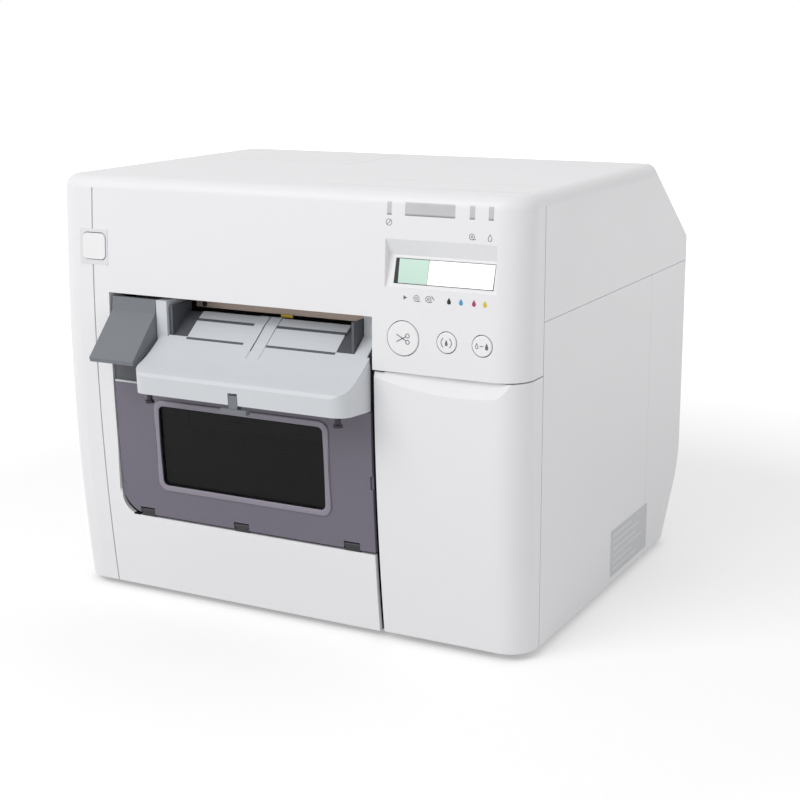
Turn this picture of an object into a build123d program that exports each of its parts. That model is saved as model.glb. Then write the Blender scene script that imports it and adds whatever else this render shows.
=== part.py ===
from build123d import *
from math import atan2, cos, radians, sin, sqrt, tan
import os

# A desktop label printer for rolls, in millimetres. +X is its right side, +Y its back and
# +Z up; the origin is on the table under the middle of its box, tray included.

# Overall size
width = 310
depth = 283
height = 261
foot_height = 4
tray_reach = 30
side_x = width / 2
front_y = (tray_reach - depth) / 2

# Fits
wall = 3
seam = 0.8
fine_seam = 0.3
bore_play = 0.05
clearance = 0.4
cover_gap = 1.5
button_gap = 0.5

# Outer form
bow_radius = 1250
bow_height = 160
corner_radius = 17
edge_radius = 8
bevel_run = 71.5
bevel_drop = 51
heel_top = 68
heel_radius = 60
heel_angle = 35

# Where the casing parts
pillar_width = 28.3
pillar_top = height - 7
seam_setback = 28.5
belt_height = height - 69.3
rear_setback = 75.5
panel_bottom = height - 98.5
ink_cover_width = 89
strip_end = side_x - 92

# Roll cover and its opening
opening_left = 39.5 - side_x
opening_right = side_x - 90
opening_bottom = 52.3
opening_top = height - 68.8
opening_corner = 12
cover_corner = 16
cover_right = side_x - 93.5
panel_right = side_x - 91.5
panel_top = height - 123.5
panel_thickness = 2.5
hinge_radius = 1.1
hinge_depth = 2
hinge_places = (58 - side_x, -28, side_x - 107)
hinge_width = 10

# Window in the roll cover
window_left = 72.5 - side_x
window_right = side_x - 122.5
window_bottom = 75
window_top = panel_top - 11.5
rim_width = 3
rim_height = 0.8

# Tray that catches the cut labels
tray_left = 76 - side_x
tray_top = height - 96
tray_front_drop = 12
tray_nose = tray_top - 24.5
tray_corner = 9
clip_x = -8

# Lever that opens the roll cover
lever_left = opening_left + 2.2
lever_right = tray_left - 2.5
lever_top = opening_top - 2.2
lever_crease = lever_top - 8
lever_reach = 24
lever_lip = lever_top - 36

# Operation panel
button_height = height - 79.2
cut_x = side_x - 70.8
cut_radius = 9.5
feed_x = side_x - 44.3
cleaning_x = side_x - 23.4
small_button_radius = 5.7
button_travel = 1.2
lcd_left = side_x - 82.3
lcd_right = side_x - 16
lcd_bottom = height - 51.5
lcd_top = height - 24
lcd_depth = 5
light_bottom = height - 12.7
light_insets = ((81.6, 78.8), (70.7, 40.9), (32.5, 29.4), (21.6, 18.6))
power_left = 19.1 - side_x
power_right = 39.6 - side_x
power_bottom = height - 52.5
power_top = height - 31.4

# Mechanism
sheet = 2
plate_left = 36 - side_x
partition_x = side_x - 92
plate_right = side_x - 9
floor_top = 9
deck_height = height - 109
spindle_radius = 9
spindle_journal = 6
spindle_y = front_y + 66.5
spindle_z = deck_height - 48
flange_radius = 40
feed_y = front_y + 136.5
feed_z = deck_height + 18
feed_radius = 9
journal_radius = 4
guide_y = front_y + 96.5
guide_z = height - 47
guide_radius = 5
carriage_right = side_x - 15
carriage_width = 50
carriage_travel = 190
pulley_radius = 6
belt_y = feed_y
belt_z = height - 29
belt_thickness = 1.2
belt_width = 6
cartridge_count = 4
cartridge_width = 17.4
cartridge_travel = 15

# Places worked out from the sizes above
back_y = front_y + depth
seam_y = front_y + seam_setback
rear_seam_y = back_y - rear_setback
pillar_x = pillar_width - side_x
ink_left = side_x - ink_cover_width
inside_x = side_x - wall
region_reach = seam_setback + tray_reach + 10


def front_at(z, inset=0):
    """How far back the bowed front lies at a height, or a face set in from it."""
    return front_y + bow_radius - sqrt((bow_radius - inset) ** 2 - (z - bow_height) ** 2)


def slab(x, y, z, mode=Mode.ADD):
    """A rectangular block, with each of x, y and z given as (low, high)."""
    with Locations(((x[0] + x[1]) / 2, (y[0] + y[1]) / 2, (z[0] + z[1]) / 2)):
        return Box(x[1] - x[0], y[1] - y[0], z[1] - z[0], mode=mode)


def bar_x(x, y, z, radius, mode=Mode.ADD):
    """A round bar along X, with x given as (low, high)."""
    with Locations(Location(((x[0] + x[1]) / 2, y, z), (0, 90, 0))):
        return Cylinder(radius, x[1] - x[0], mode=mode)


def bar_y(x, y, z, radius, mode=Mode.ADD):
    """A round bar along Y, with y given as (low, high)."""
    with Locations(Location((x, (y[0] + y[1]) / 2, z), (90, 0, 0))):
        return Cylinder(radius, y[1] - y[0], mode=mode)


def bar_z(x, y, z, radius, mode=Mode.ADD):
    """A round bar along Z, with z given as (low, high)."""
    with Locations((x, y, (z[0] + z[1]) / 2)):
        return Cylinder(radius, z[1] - z[0], mode=mode)


def side_edges(face):
    """The two edges of a face that lie furthest out to the left and right."""
    return face.edges().sort_by(lambda edge: abs(edge.center().X))[-2:]


def casing_block(inset):
    """The casing's outer form as one solid, drawn in all round by inset, open below if drawn in."""
    heel_y = back_y - heel_radius * (1 - cos(radians(heel_angle)))
    heel_z = heel_top - heel_radius * sin(radians(heel_angle))
    half_turn = radians(heel_angle / 2)
    heel_mid = (back_y - heel_radius * (1 - cos(half_turn)), heel_top - heel_radius * sin(half_turn))
    foot_y = heel_y - (heel_z - foot_height) * tan(radians(heel_angle))
    with BuildPart() as block:
        with BuildSketch(Plane.YZ.offset(inset - side_x)):
            with BuildLine():
                ThreePointArc(
                    (front_at(foot_height), foot_height),
                    (front_y, bow_height),
                    (front_at(height), height),
                )
                Polyline(
                    (front_at(height), height),
                    (back_y - bevel_run, height),
                    (back_y, height - bevel_drop),
                    (back_y, heel_top),
                )
                ThreePointArc((back_y, heel_top), heel_mid, (heel_y, heel_z))
                Polyline((heel_y, heel_z), (foot_y, foot_height), (front_at(foot_height), foot_height))
            make_face()
            if inset > 0:
                offset(amount=-inset, kind=Kind.INTERSECTION, mode=Mode.REPLACE)
        extrude(amount=width - 2 * inset)
        fillet(block.edges().filter_by(GeomType.CIRCLE).sort_by(Axis.Y)[:2], corner_radius - inset)
        top = block.faces().sort_by(Axis.Z)[-1]
        rear = block.faces().filter_by(GeomType.PLANE).sort_by(Axis.Y)[-1]
        bevel = block.faces().filter_by(
            lambda face: face.geom_type == GeomType.PLANE
            and face.normal_at().Y > 0.3
            and face.normal_at().Z > 0.3
        )[0]
        rounded = top.edges().sort_by(Axis.Y)[:-1] + side_edges(bevel) + side_edges(rear)
        fillet(rounded, edge_radius - inset)
        if inset > 0:
            extrude(block.faces().sort_by(Axis.Z)[0], amount=2 * inset)
    return block.part


def front_shape(x, z, radius):
    """A rectangle with rounded corners on the front, seen from in front."""
    with BuildSketch(Plane.XZ.offset(-seam_y)) as shape:
        with Locations(((x[0] + x[1]) / 2, (z[0] + z[1]) / 2)):
            RectangleRounded(x[1] - x[0], z[1] - z[0], radius)
    return shape.sketch


def bow_arc(inset):
    """The front's arc in side view, at a depth behind its face."""
    top = (front_at(height, inset), height)
    return ThreePointArc((front_at(0, inset), 0), (front_y + inset, bow_height), top)


def bowed_sheet(front, back, outline):
    """A sheet that follows the front's bow between two depths, cut to an outline."""
    with BuildPart() as bowed:
        with BuildSketch(Plane.YZ.offset(-side_x)):
            with BuildLine():
                face = bow_arc(front)
                rear = bow_arc(back)
                Line(face @ 0, rear @ 0)
                Line(face @ 1, rear @ 1)
            make_face()
        extrude(amount=width)
        extrude(outline, amount=region_reach, mode=Mode.INTERSECT)
    return bowed.part


def roll_opening(inset, top, right, corner_size):
    """The outline of the roll cover's opening, or of what fills it with a gap of inset."""
    left = opening_left + inset
    low = opening_bottom + inset
    with BuildSketch(Plane.XZ.offset(-seam_y)) as shape:
        with Locations(((left + right) / 2, (low + top) / 2)):
            Rectangle(right - left, top - low)
        corner = shape.vertices().group_by(Axis.X)[0].sort_by(Axis.Y)[0]
        fillet(corner, corner_size)
    return shape.sketch


os.makedirs("parts", exist_ok=True)

# Shell of the casing

with BuildPart() as shell:
    add(casing_block(0))
    add(casing_block(wall), mode=Mode.SUBTRACT)

# Floor of the casing, a shallow tray inside the covers

floor_front = front_at(foot_height) + wall + clearance
floor_back = floor_front + depth - 53
ink_sweep_y = seam_y + clearance
with BuildPart() as base_tray:
    with BuildSketch(Plane.XY.offset(foot_height)):
        with BuildLine():
            Polyline(
                (-inside_x + clearance, floor_front),
                (strip_end, floor_front),
                (strip_end, ink_sweep_y),
                (inside_x - clearance, ink_sweep_y),
                (inside_x - clearance, floor_back),
                (-inside_x + clearance, floor_back),
                close=True,
            )
        base_outline = make_face()
        fillet(base_outline.vertices().group_by(Axis.X)[0].sort_by(Axis.Y)[0], corner_radius - wall)
    extrude(amount=floor_top - foot_height - sheet)
    with GridLocations(180, 12, 1, 14):
        with Locations((0, 0, foot_height)):
            Box(120, 4, 2 * (floor_top - foot_height - sheet), mode=Mode.SUBTRACT)
base_tray.part.label = "base_tray"
export_step(base_tray.part, "parts/base_tray.step")

# Rubber feet under the floor

foot_radius = 9
foot_x = side_x - 27
foot_front_y = seam_y + 14
foot_back_y = floor_back - 18
with BuildPart() as rubber_feet:
    with BuildSketch(Plane.XY):
        with Locations(
            (-foot_x, foot_front_y), (foot_x, foot_front_y), (-foot_x, foot_back_y), (foot_x, foot_back_y)
        ):
            Circle(foot_radius)
    extrude(amount=foot_height)
    fillet(rubber_feet.edges().group_by(Axis.Z)[0], 1)
rubber_feet.part.label = "rubber_feet"
export_step(rubber_feet.part, "parts/rubber_feet.step")

# Boards behind the buttons: how far back they stand on their bosses

board_thickness = 1.6
bezel_depth = 9
collar_depth = 5.1
flange_depth = 1.5
switch_height = 4
button_face = front_at(button_height)
power_flange = front_at(power_top, bezel_depth) + fine_seam
switch_gap = button_travel + clearance
panel_board_y = button_face + collar_depth + fine_seam + flange_depth + switch_gap + switch_height
power_board_y = power_flange + flange_depth + switch_gap + switch_height

# Left side cover with the pillar at the front corner

power_x = (power_left + power_right) / 2
power_y = (front_y - wall, front_y + 12)
power_z = (power_bottom + power_top) / 2
with BuildPart() as left_side_cover:
    add(shell.part)
    with BuildSketch(Plane.YZ.offset(-side_x - wall)):
        with BuildLine():
            Polyline(
                (front_y - wall, 0),
                (front_y - wall, pillar_top),
                (seam_y, pillar_top),
                (seam_y, belt_height),
                (rear_seam_y, belt_height),
                (rear_seam_y, 0),
                close=True,
            )
        make_face()
    extrude(amount=pillar_width + wall - seam / 2, mode=Mode.INTERSECT)
    slab((power_left, power_right), power_y, (power_bottom, power_top), Mode.SUBTRACT)
    for z in (power_bottom - 3.5, power_top + 2.4):
        bar_y(power_left + 6, (front_at(z) + 1, power_board_y), z, 2)
    rib_z = (40, 110, belt_height - 21.7)
    for z in rib_z:
        slab((-inside_x, -inside_x + 5), (seam_y + 20, rear_seam_y - 10), (z, z + 2))
left_side_cover.part.label = "left_side_cover"
export_step(left_side_cover.part, "parts/left_side_cover.step")

# Right side cover

with BuildPart() as right_side_cover:
    add(shell.part)
    slab(
        (ink_left, side_x + wall),
        (seam_y + seam, rear_seam_y - fine_seam),
        (0, belt_height - fine_seam),
        Mode.INTERSECT,
    )
    for z in rib_z:
        slab((inside_x - 4, inside_x), (seam_y + 20, rear_seam_y - 10), (z, z + 2))
right_side_cover.part.label = "right_side_cover"
export_step(right_side_cover.part, "parts/right_side_cover.step")

# Top of the casing, with the upper sides and the bevel at the back

with BuildPart() as upper_case:
    add(shell.part)
    with BuildSketch(Plane.YZ.offset(-side_x - wall)):
        with BuildLine():
            Polyline(
                (seam_y, height + wall),
                (back_y + wall, height + wall),
                (back_y + wall, belt_height),
                (seam_y + seam, belt_height),
                (seam_y + seam, pillar_top),
                (seam_y, pillar_top),
                close=True,
            )
        make_face()
    extrude(amount=width + 2 * wall, mode=Mode.INTERSECT)
    groove_y = front_y + 57
    groove_x = (side_x - 115, side_x - edge_radius)
    slab(groove_x, (groove_y - 0.4, groove_y + 0.4), (height - 0.8, height + wall), Mode.SUBTRACT)
    for x in (-90, 0, 90):
        slab((x - 1, x + 1), (seam_y + 20, back_y - bevel_run - 10), (height - wall - 6, height - wall))
upper_case.part.label = "upper_case"
export_step(upper_case.part, "parts/upper_case.step")

# Back of the casing

inlet_x = (23 - side_x, 51 - side_x)
inlet_z = (74, 94)
port_x = (67 - side_x, 129 - side_x)
port_z = (74, 90)
slot_x = (43 - side_x, side_x - 95)
slot_z = (deck_height + 14, deck_height + 28)
screw_x = (20 - side_x, side_x - 20)
screw_z = (100, belt_height - 13.7)
vent_left = side_x - 85
vent_pitch = 8
vent_width = 3
vent_count = 8
vent_z = (84, 134)
with BuildPart() as rear_case:
    add(shell.part)
    slab(
        (-side_x - wall, side_x + wall),
        (rear_seam_y, back_y + wall),
        (0, belt_height - fine_seam),
        Mode.INTERSECT,
    )
    for x, z in ((inlet_x, inlet_z), (port_x, port_z), (slot_x, slot_z)):
        slab(x, (back_y - 2 * wall, back_y + wall), z, Mode.SUBTRACT)
    for x in screw_x:
        for z in screw_z:
            bar_y(x, (back_y - 1.8, back_y + wall), z, 4, Mode.SUBTRACT)
            bar_y(x, (back_y - 2 * wall, back_y), z, 1.6, Mode.SUBTRACT)
    for column in range(vent_count):
        vent_x = vent_left + vent_pitch * column
        slab((vent_x, vent_x + vent_width), (back_y - 2 * wall, back_y + wall), vent_z, Mode.SUBTRACT)
rear_case.part.label = "rear_case"
export_step(rear_case.part, "parts/rear_case.step")

# Front of the casing: a frame round the roll cover, with the operation panel at its right

lip_depth = 14
lip = 2
lcd_tilt = 17
lcd_thickness = 5.2
lcd_face = front_at((lcd_bottom + lcd_top) / 2)
lcd_slope = 10.5
glass_size = (59.5, 14)
glass_place = (
    lcd_right - 2.2 - glass_size[0] / 2,
    lcd_face + lcd_depth / 2 + 0.3,
    (lcd_bottom + lcd_top - lcd_slope) / 2 + 0.2,
)
panel_buttons = (
    (cut_x, cut_radius),
    (feed_x, small_button_radius),
    (cleaning_x, small_button_radius),
)
light_top = height - 5.5
boss_x = (side_x - 83, side_x - 13)
boss_z = (height - 90, height - 19)
glass_plane = Plane(
    origin=glass_place,
    x_dir=(1, 0, 0),
    z_dir=(0, -cos(radians(lcd_tilt)), sin(radians(lcd_tilt))),
)
with BuildPart() as light_slots:
    for start, end in light_insets:
        light_x = (side_x - start, side_x - end)
        slab(light_x, (front_y - wall, front_y + lip_depth), (light_bottom, light_top))

with BuildPart() as front_case:
    add(shell.part)
    with BuildSketch(Plane.XZ.offset(-seam_y)):
        with BuildLine():
            Polyline(
                (pillar_x + seam / 2, 0),
                (pillar_x + seam / 2, pillar_top),
                (-side_x - wall, pillar_top),
                (-side_x - wall, height + wall),
                (side_x + wall, height + wall),
                (side_x + wall, panel_bottom),
                (opening_right, panel_bottom),
                (strip_end, opening_bottom),
                (strip_end, 0),
                close=True,
            )
        make_face()
    extrude(amount=region_reach, mode=Mode.INTERSECT)
    recess_y = (lcd_face + 1, lcd_face + lcd_depth + wall)
    slab((lcd_left - lip, lcd_right + lip), recess_y, (lcd_bottom - 4, lcd_top + lip))
    for x in boss_x:
        for z in boss_z:
            bar_y(x, (front_at(z) + 2, panel_board_y), z, 3)
    collar_y = (button_face + 1, button_face + collar_depth)
    for x, radius in panel_buttons:
        bar_y(x, collar_y, button_height, radius + button_gap + 1.5)
    lip_back = front_y + lip_depth
    lip_top = opening_top + lip
    slab((opening_left - 3, opening_right + 3), (front_at(opening_top) + 1, lip_back), (opening_top, lip_top))
    slab((opening_left - lip, opening_left), (front_y + 1.5, lip_back), (opening_bottom + 16, lip_top))
    lip_y = (front_y + 1.5, front_y + 2 * lip_depth)
    slab((opening_right, opening_right + lip), lip_y, (panel_bottom, lip_top))
    opening = roll_opening(0, opening_top, opening_right, opening_corner)
    extrude(opening, amount=region_reach, mode=Mode.SUBTRACT)
    with BuildSketch(Plane.YZ.offset(lcd_left)):
        with BuildLine():
            Polyline(
                (lcd_face - 4, lcd_top),
                (lcd_face, lcd_top),
                (lcd_face + lcd_depth, lcd_top - lcd_slope),
                (lcd_face + 0.4, lcd_bottom),
                (lcd_face - 4, lcd_bottom),
                close=True,
            )
        make_face()
    extrude(amount=lcd_right - lcd_left, mode=Mode.SUBTRACT)
    with BuildSketch(glass_plane):
        Rectangle(*glass_size)
    extrude(amount=lcd_thickness + 1, both=True, mode=Mode.SUBTRACT)
    for x, radius in panel_buttons:
        bar_y(x, (front_y - wall, front_y + lip_depth), button_height, radius + button_gap, Mode.SUBTRACT)
    add(light_slots.part, mode=Mode.SUBTRACT)
    slab((power_left, power_right), power_y, (power_bottom, power_top), Mode.SUBTRACT)
    hinge_z = opening_bottom + cover_gap + hinge_depth
    hinge_y = front_at(hinge_z) + hinge_depth
    lug_radius = hinge_depth - 0.2
    for x in hinge_places:
        lug_x = (x - hinge_width / 2, x + hinge_width / 2)
        bar_x(lug_x, hinge_y, hinge_z, lug_radius)
        lug_y = (hinge_y - lug_radius + 0.6, hinge_y + lug_radius)
        slab(lug_x, lug_y, (opening_bottom - 2, hinge_z))
        bar_x(lug_x, hinge_y, hinge_z, hinge_radius, Mode.SUBTRACT)
front_case.part.label = "front_case"
export_step(front_case.part, "parts/front_case.step")

# Light windows along the top of the operation panel

with BuildPart() as led_windows:
    add(shell.part)
    add(light_slots.part, mode=Mode.INTERSECT)
led_windows.part.label = "led_windows"
export_step(led_windows.part, "parts/led_windows.step")

# Display behind its scooped recess

with BuildPart() as lcd_module:
    with BuildSketch(glass_plane):
        Rectangle(glass_size[0] - clearance, glass_size[1] - clearance)
    extrude(amount=-lcd_thickness)
lcd_module.part.label = "lcd_module"
export_step(lcd_module.part, "parts/lcd_module.step")


def panel_button(x, radius):
    """A round button in its collar, with a flange behind that keeps it in."""
    with BuildPart() as button:
        with BuildSketch(Plane.XZ.offset(-button_face + 0.6)):
            with Locations((x, button_height)):
                Circle(radius)
        extrude(amount=-collar_depth - 0.6 - button_gap)
        fillet(button.edges().sort_by(Axis.Y)[0], 0.6)
        flange_y = button_face + collar_depth + fine_seam
        bar_y(x, (flange_y, flange_y + flange_depth), button_height, radius + button_gap + 1)
    return button.part


# Buttons of the operation panel: cut, feed and cleaning

with BuildPart() as cut_button:
    add(panel_button(cut_x, cut_radius))
cut_button.part.label = "cut_button"
export_step(cut_button.part, "parts/cut_button.step")

with BuildPart() as feed_button:
    add(panel_button(feed_x, small_button_radius))
feed_button.part.label = "feed_button"
export_step(feed_button.part, "parts/feed_button.step")

with BuildPart() as cleaning_button:
    add(panel_button(cleaning_x, small_button_radius))
cleaning_button.part.label = "cleaning_button"
export_step(cleaning_button.part, "parts/cleaning_button.step")

# Power button and its frame, across the seam of the left pillar

power_edge = 2.4
power_face = front_at(power_z)
power_outline = front_shape(
    (power_left + power_edge, power_right - power_edge + 0.8),
    (power_bottom + power_edge + 0.8, power_top - power_edge),
    3,
)
with BuildPart() as power_bezel:
    bezel_outline = front_shape((power_left, power_right), (power_bottom, power_top), 0.8)
    add(bowed_sheet(-0.3, bezel_depth, bezel_outline))
    button_hole = offset(power_outline, amount=button_gap, mode=Mode.PRIVATE)
    extrude(button_hole, amount=region_reach, mode=Mode.SUBTRACT)
power_bezel.part.label = "power_bezel"
export_step(power_bezel.part, "parts/power_bezel.step")

with BuildPart() as power_button:
    add(bowed_sheet(-0.9, bezel_depth + 1, power_outline))
    flange_x = (power_left + 0.5, power_right - 0.5)
    slab(flange_x, (power_flange, power_flange + flange_depth), (power_bottom + 0.5, power_top - 0.5))
power_button.part.label = "power_button"
export_step(power_button.part, "parts/power_button.step")

# Boards behind the buttons, each with its switches

with BuildPart() as control_boards:
    board_x = (boss_x[0] - 2, boss_x[1] + 2)
    slab(board_x, (panel_board_y, panel_board_y + board_thickness), (boss_z[0] - 3, boss_z[1] + 4))
    for x, radius in panel_buttons:
        switch_y = (panel_board_y - switch_height, panel_board_y)
        slab((x - 3, x + 3), switch_y, (button_height - 3, button_height + 3))
    board_y = (power_board_y, power_board_y + board_thickness)
    slab((power_left - 2, power_right), board_y, (power_bottom - 6, power_top + 4))
    switch_y = (power_board_y - switch_height, power_board_y)
    slab((power_x - 3, power_x + 3), switch_y, (power_z - 3, power_z + 3))
control_boards.part.label = "control_boards"
export_step(control_boards.part, "parts/control_boards.step")

# Ink cover, which wraps the right corner and swings down at its foot

ink_hinge_y = front_at(foot_height) + 6.3
ink_hinge_z = foot_height + 4
ink_pin_radius = 1.2
ear_width = 3
ear_places = (side_x - 85, side_x - 17)
tab_places = (ear_places[0] + 3.4, ear_places[1] - 3.4)
cover_edge = panel_bottom - seam
scoop_half = 62
scoop_depth = 3.6
scoop_rise = 10
scoop_x = ink_left + 50
scoop_radius = (scoop_half**2 + scoop_depth**2) / (2 * scoop_depth)
scoop_slope = atan2(scoop_depth, scoop_rise)
scoop_plane = Plane(
    origin=(
        scoop_x,
        front_y + scoop_depth - scoop_radius * cos(scoop_slope),
        cover_edge + scoop_radius * sin(scoop_slope),
    ),
    x_dir=(1, 0, 0),
    z_dir=(0, scoop_depth, scoop_rise),
)
with BuildPart() as scoop:
    with Locations(scoop_plane):
        Cylinder(scoop_radius, 6 * scoop_rise)
    slab(
        (ink_left - 1, side_x + wall),
        (front_y - wall, seam_y),
        (cover_edge - scoop_rise - 1, cover_edge + 1),
        Mode.INTERSECT,
    )

with BuildPart() as ink_cover:
    add(shell.part)
    slab(
        (ink_left, side_x + wall),
        (front_y - wall, seam_y),
        (foot_height + 0.5, cover_edge),
        Mode.INTERSECT,
    )
    stiffener_x = (ink_left, side_x - corner_radius + 6)
    slab(stiffener_x, (front_y + 1.5, front_y + 2 * wall + 1), (cover_edge - 24, cover_edge))
    ear_y = (front_at(foot_height) + 2, ink_hinge_y)
    for x in ear_places:
        slab((x, x + ear_width), ear_y, (foot_height + 0.8, ink_hinge_z + 2.8))
        bar_x((x, x + ear_width), ink_hinge_y, ink_hinge_z, 2.8)
        bar_x((x, x + ear_width), ink_hinge_y, ink_hinge_z, ink_pin_radius + bore_play, Mode.SUBTRACT)
    add(scoop.part, mode=Mode.SUBTRACT)
ink_cover.part.label = "ink_cover"
export_step(ink_cover.part, "parts/ink_cover.step")

# Roll cover: the coloured panel with its window hole and hinge bead

cover_left = opening_left + cover_gap
cover_low = opening_bottom + cover_gap
window_x = (window_left, window_right)
window_z = (window_bottom, window_top)
hinge_end = cover_right - 1.5
with BuildPart() as roll_cover_panel:
    panel_outline = roll_opening(cover_gap, panel_top, panel_right, cover_corner)
    add(bowed_sheet(0, panel_thickness, panel_outline))
    bead_y = (hinge_y - hinge_depth + 0.5, hinge_y + hinge_depth)
    slab((hinge_places[0], hinge_end), bead_y, (cover_low, cover_low + 2 * hinge_depth))
    for x in hinge_places:
        notch_x = (x - hinge_width / 2 - clearance, x + hinge_width / 2 + clearance)
        notch_y = (front_y - wall, hinge_y + hinge_depth + 1)
        slab(notch_x, notch_y, (opening_bottom, hinge_z + hinge_depth + clearance), Mode.SUBTRACT)
    bar_x((hinge_places[0], hinge_end), hinge_y, hinge_z, hinge_radius + bore_play, Mode.SUBTRACT)
    extrude(front_shape(window_x, window_z, 3), amount=region_reach, mode=Mode.SUBTRACT)
    slab((panel_right - 1.5, panel_right + 1), (front_y - wall, front_y + wall), (92, 100), Mode.SUBTRACT)
roll_cover_panel.part.label = "roll_cover_panel"
export_step(roll_cover_panel.part, "parts/roll_cover_panel.step")

# Hinge pins of the roll cover and the ink cover

with BuildPart() as cover_hinge_pins:
    bar_x((hinge_places[0] - hinge_width / 2, hinge_end - 0.5), hinge_y, hinge_z, hinge_radius)
    bar_x((ear_places[0], tab_places[0] + ear_width), ink_hinge_y, ink_hinge_z, ink_pin_radius)
    bar_x((tab_places[1], ear_places[1] + ear_width), ink_hinge_y, ink_hinge_z, ink_pin_radius)
cover_hinge_pins.part.label = "cover_hinge_pins"
export_step(cover_hinge_pins.part, "parts/cover_hinge_pins.step")

# Smoked window with its raised rim

rim_x = (window_left - rim_width, window_right + rim_width)
rim_z = (window_bottom - rim_width, window_top + rim_width)
pane_fit = 0.15
tongue_x = (window_left + pane_fit, window_right - pane_fit)
tongue_z = (window_bottom + pane_fit, window_top - pane_fit)
with BuildPart() as window_pane:
    add(bowed_sheet(-rim_height, 0, front_shape(rim_x, rim_z, 6)))
    add(bowed_sheet(-rim_height, panel_thickness, front_shape(tongue_x, tongue_z, 3)))
    sunk_x = (window_left + 1, window_right - 1)
    sunk_z = (window_bottom + 1, window_top - 1)
    add(bowed_sheet(-wall, 0.6, front_shape(sunk_x, sunk_z, 3)), mode=Mode.SUBTRACT)
window_pane.part.label = "window_pane"
export_step(window_pane.part, "parts/window_pane.step")

# Frame behind the panel, which carries the tray, the lever and the guides

lever_y = front_y + 10.5
lever_z = lever_top - 6
lever_pin_radius = 1.5
arm_width = 2.3
arm_back = front_y + 30
frame_back = 9
tray_root = front_y + 1
bed_front = tray_root + 0.4
bed_bend = bed_front + 11.5
bed_crest = bed_front + 18
bed_low = deck_height + 16.3
bed_mid = deck_height + 25
bed_top = deck_height + 28.8
bed_end = bed_top - 2
beam_z = (panel_top + 0.7, deck_height)
frame_window_x = (rim_x[0] - 4, rim_x[1] + 4)
frame_window_z = (rim_z[0] - 2, rim_z[1] + 2)
post_x = (tray_left - 2, tray_left + 5.5)
post_top = lever_z + 6
post_back = arm_back - 8
with BuildPart() as roll_cover_frame:
    frame_x = (cover_left + 1, cover_right - 1)
    frame_outline = front_shape(frame_x, (cover_low + 9, beam_z[0] + 4), 4)
    add(bowed_sheet(panel_thickness, frame_back, frame_outline))
    extrude(front_shape(frame_window_x, frame_window_z, 4), amount=region_reach, mode=Mode.SUBTRACT)
    slab((cover_left + 0.5, cover_right), (front_y + 1, front_y + frame_back), beam_z)
    slab((cover_left + 0.5, cover_right), (front_y + frame_back, arm_back), (beam_z[1] - 2.5, beam_z[1]))
    for x in (frame_x[0], lever_right - arm_width + 0.3):
        slab((x, x + arm_width), (lever_y - 2.5, arm_back), (beam_z[1], lever_z))
        bar_x((x, x + arm_width), lever_y, lever_z, 2.5)
        slab((x, x + arm_width), (front_y, lever_y - 0.5), (beam_z[1], lever_z - 8), Mode.SUBTRACT)
        bar_x((x, x + arm_width), lever_y, lever_z, lever_pin_radius, Mode.SUBTRACT)
    slab((cover_right - arm_width, cover_right), (bed_bend + 0.2, arm_back), (beam_z[1], lever_z))
    with BuildSketch(Plane.YZ.offset(post_x[1] + 0.4)):
        with BuildLine():
            Polyline(
                (bed_front, beam_z[1] - 1),
                (bed_front, bed_low),
                (bed_bend, bed_mid),
                (bed_crest, bed_top),
                (arm_back, bed_end),
                (arm_back, beam_z[1] - 1),
                close=True,
            )
        make_face()
    extrude(amount=cover_right - post_x[1] - 0.4)
    slab(
        (post_x[1] + wall, cover_right - wall),
        (front_y + frame_back, arm_back - wall),
        (beam_z[1] - wall, bed_low - 2),
        Mode.SUBTRACT,
    )
roll_cover_frame.part.label = "roll_cover_frame"
export_step(roll_cover_frame.part, "parts/roll_cover_frame.step")

# Lever that lets the roll cover go when it is pressed down

tip_y = front_y - lever_reach
with BuildPart() as cover_lever:
    with BuildSketch(Plane.YZ.offset(lever_left)):
        with BuildLine():
            Polyline(
                (front_y + 1, lever_top),
                (front_y, lever_crease),
                (tip_y, lever_lip + 3),
                (tip_y + 0.8, lever_lip + 0.6),
                (tip_y + 3, lever_lip),
                (front_y + 3.5, lever_crease - 16),
                (front_y + 5, lever_top - 4),
                (front_y + 4, lever_top),
                close=True,
            )
        make_face()
    extrude(amount=lever_right - lever_left)
    with BuildSketch(Plane.YZ.offset(lever_left + 2)):
        with BuildLine():
            Polyline(
                (front_y + 2.4, lever_crease - 1),
                (tip_y + 3.6, lever_lip + 2.6),
                (tip_y + 3.6, lever_lip - 4),
                (front_y + 8, lever_lip - 4),
                (front_y + 8, lever_crease - 1),
                close=True,
            )
        make_face()
    extrude(amount=lever_right - lever_left - 4, mode=Mode.SUBTRACT)
    hub_x = (lever_left + arm_width + 1.4, lever_right - arm_width - 0.8)
    bar_x(hub_x, lever_y, lever_z, 3)
    slab(hub_x, (front_y + 3, lever_y), (lever_z, lever_z + 3))
    bar_x(hub_x, lever_y, lever_z, lever_pin_radius + bore_play, Mode.SUBTRACT)
cover_lever.part.label = "cover_lever"
export_step(cover_lever.part, "parts/cover_lever.step")

with BuildPart() as lever_pin:
    bar_x((frame_x[0], lever_right + 0.3), lever_y, lever_z, lever_pin_radius)
lever_pin.part.label = "lever_pin"
export_step(lever_pin.part, "parts/lever_pin.step")

# Tray that catches the cut labels, hollow below

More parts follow.
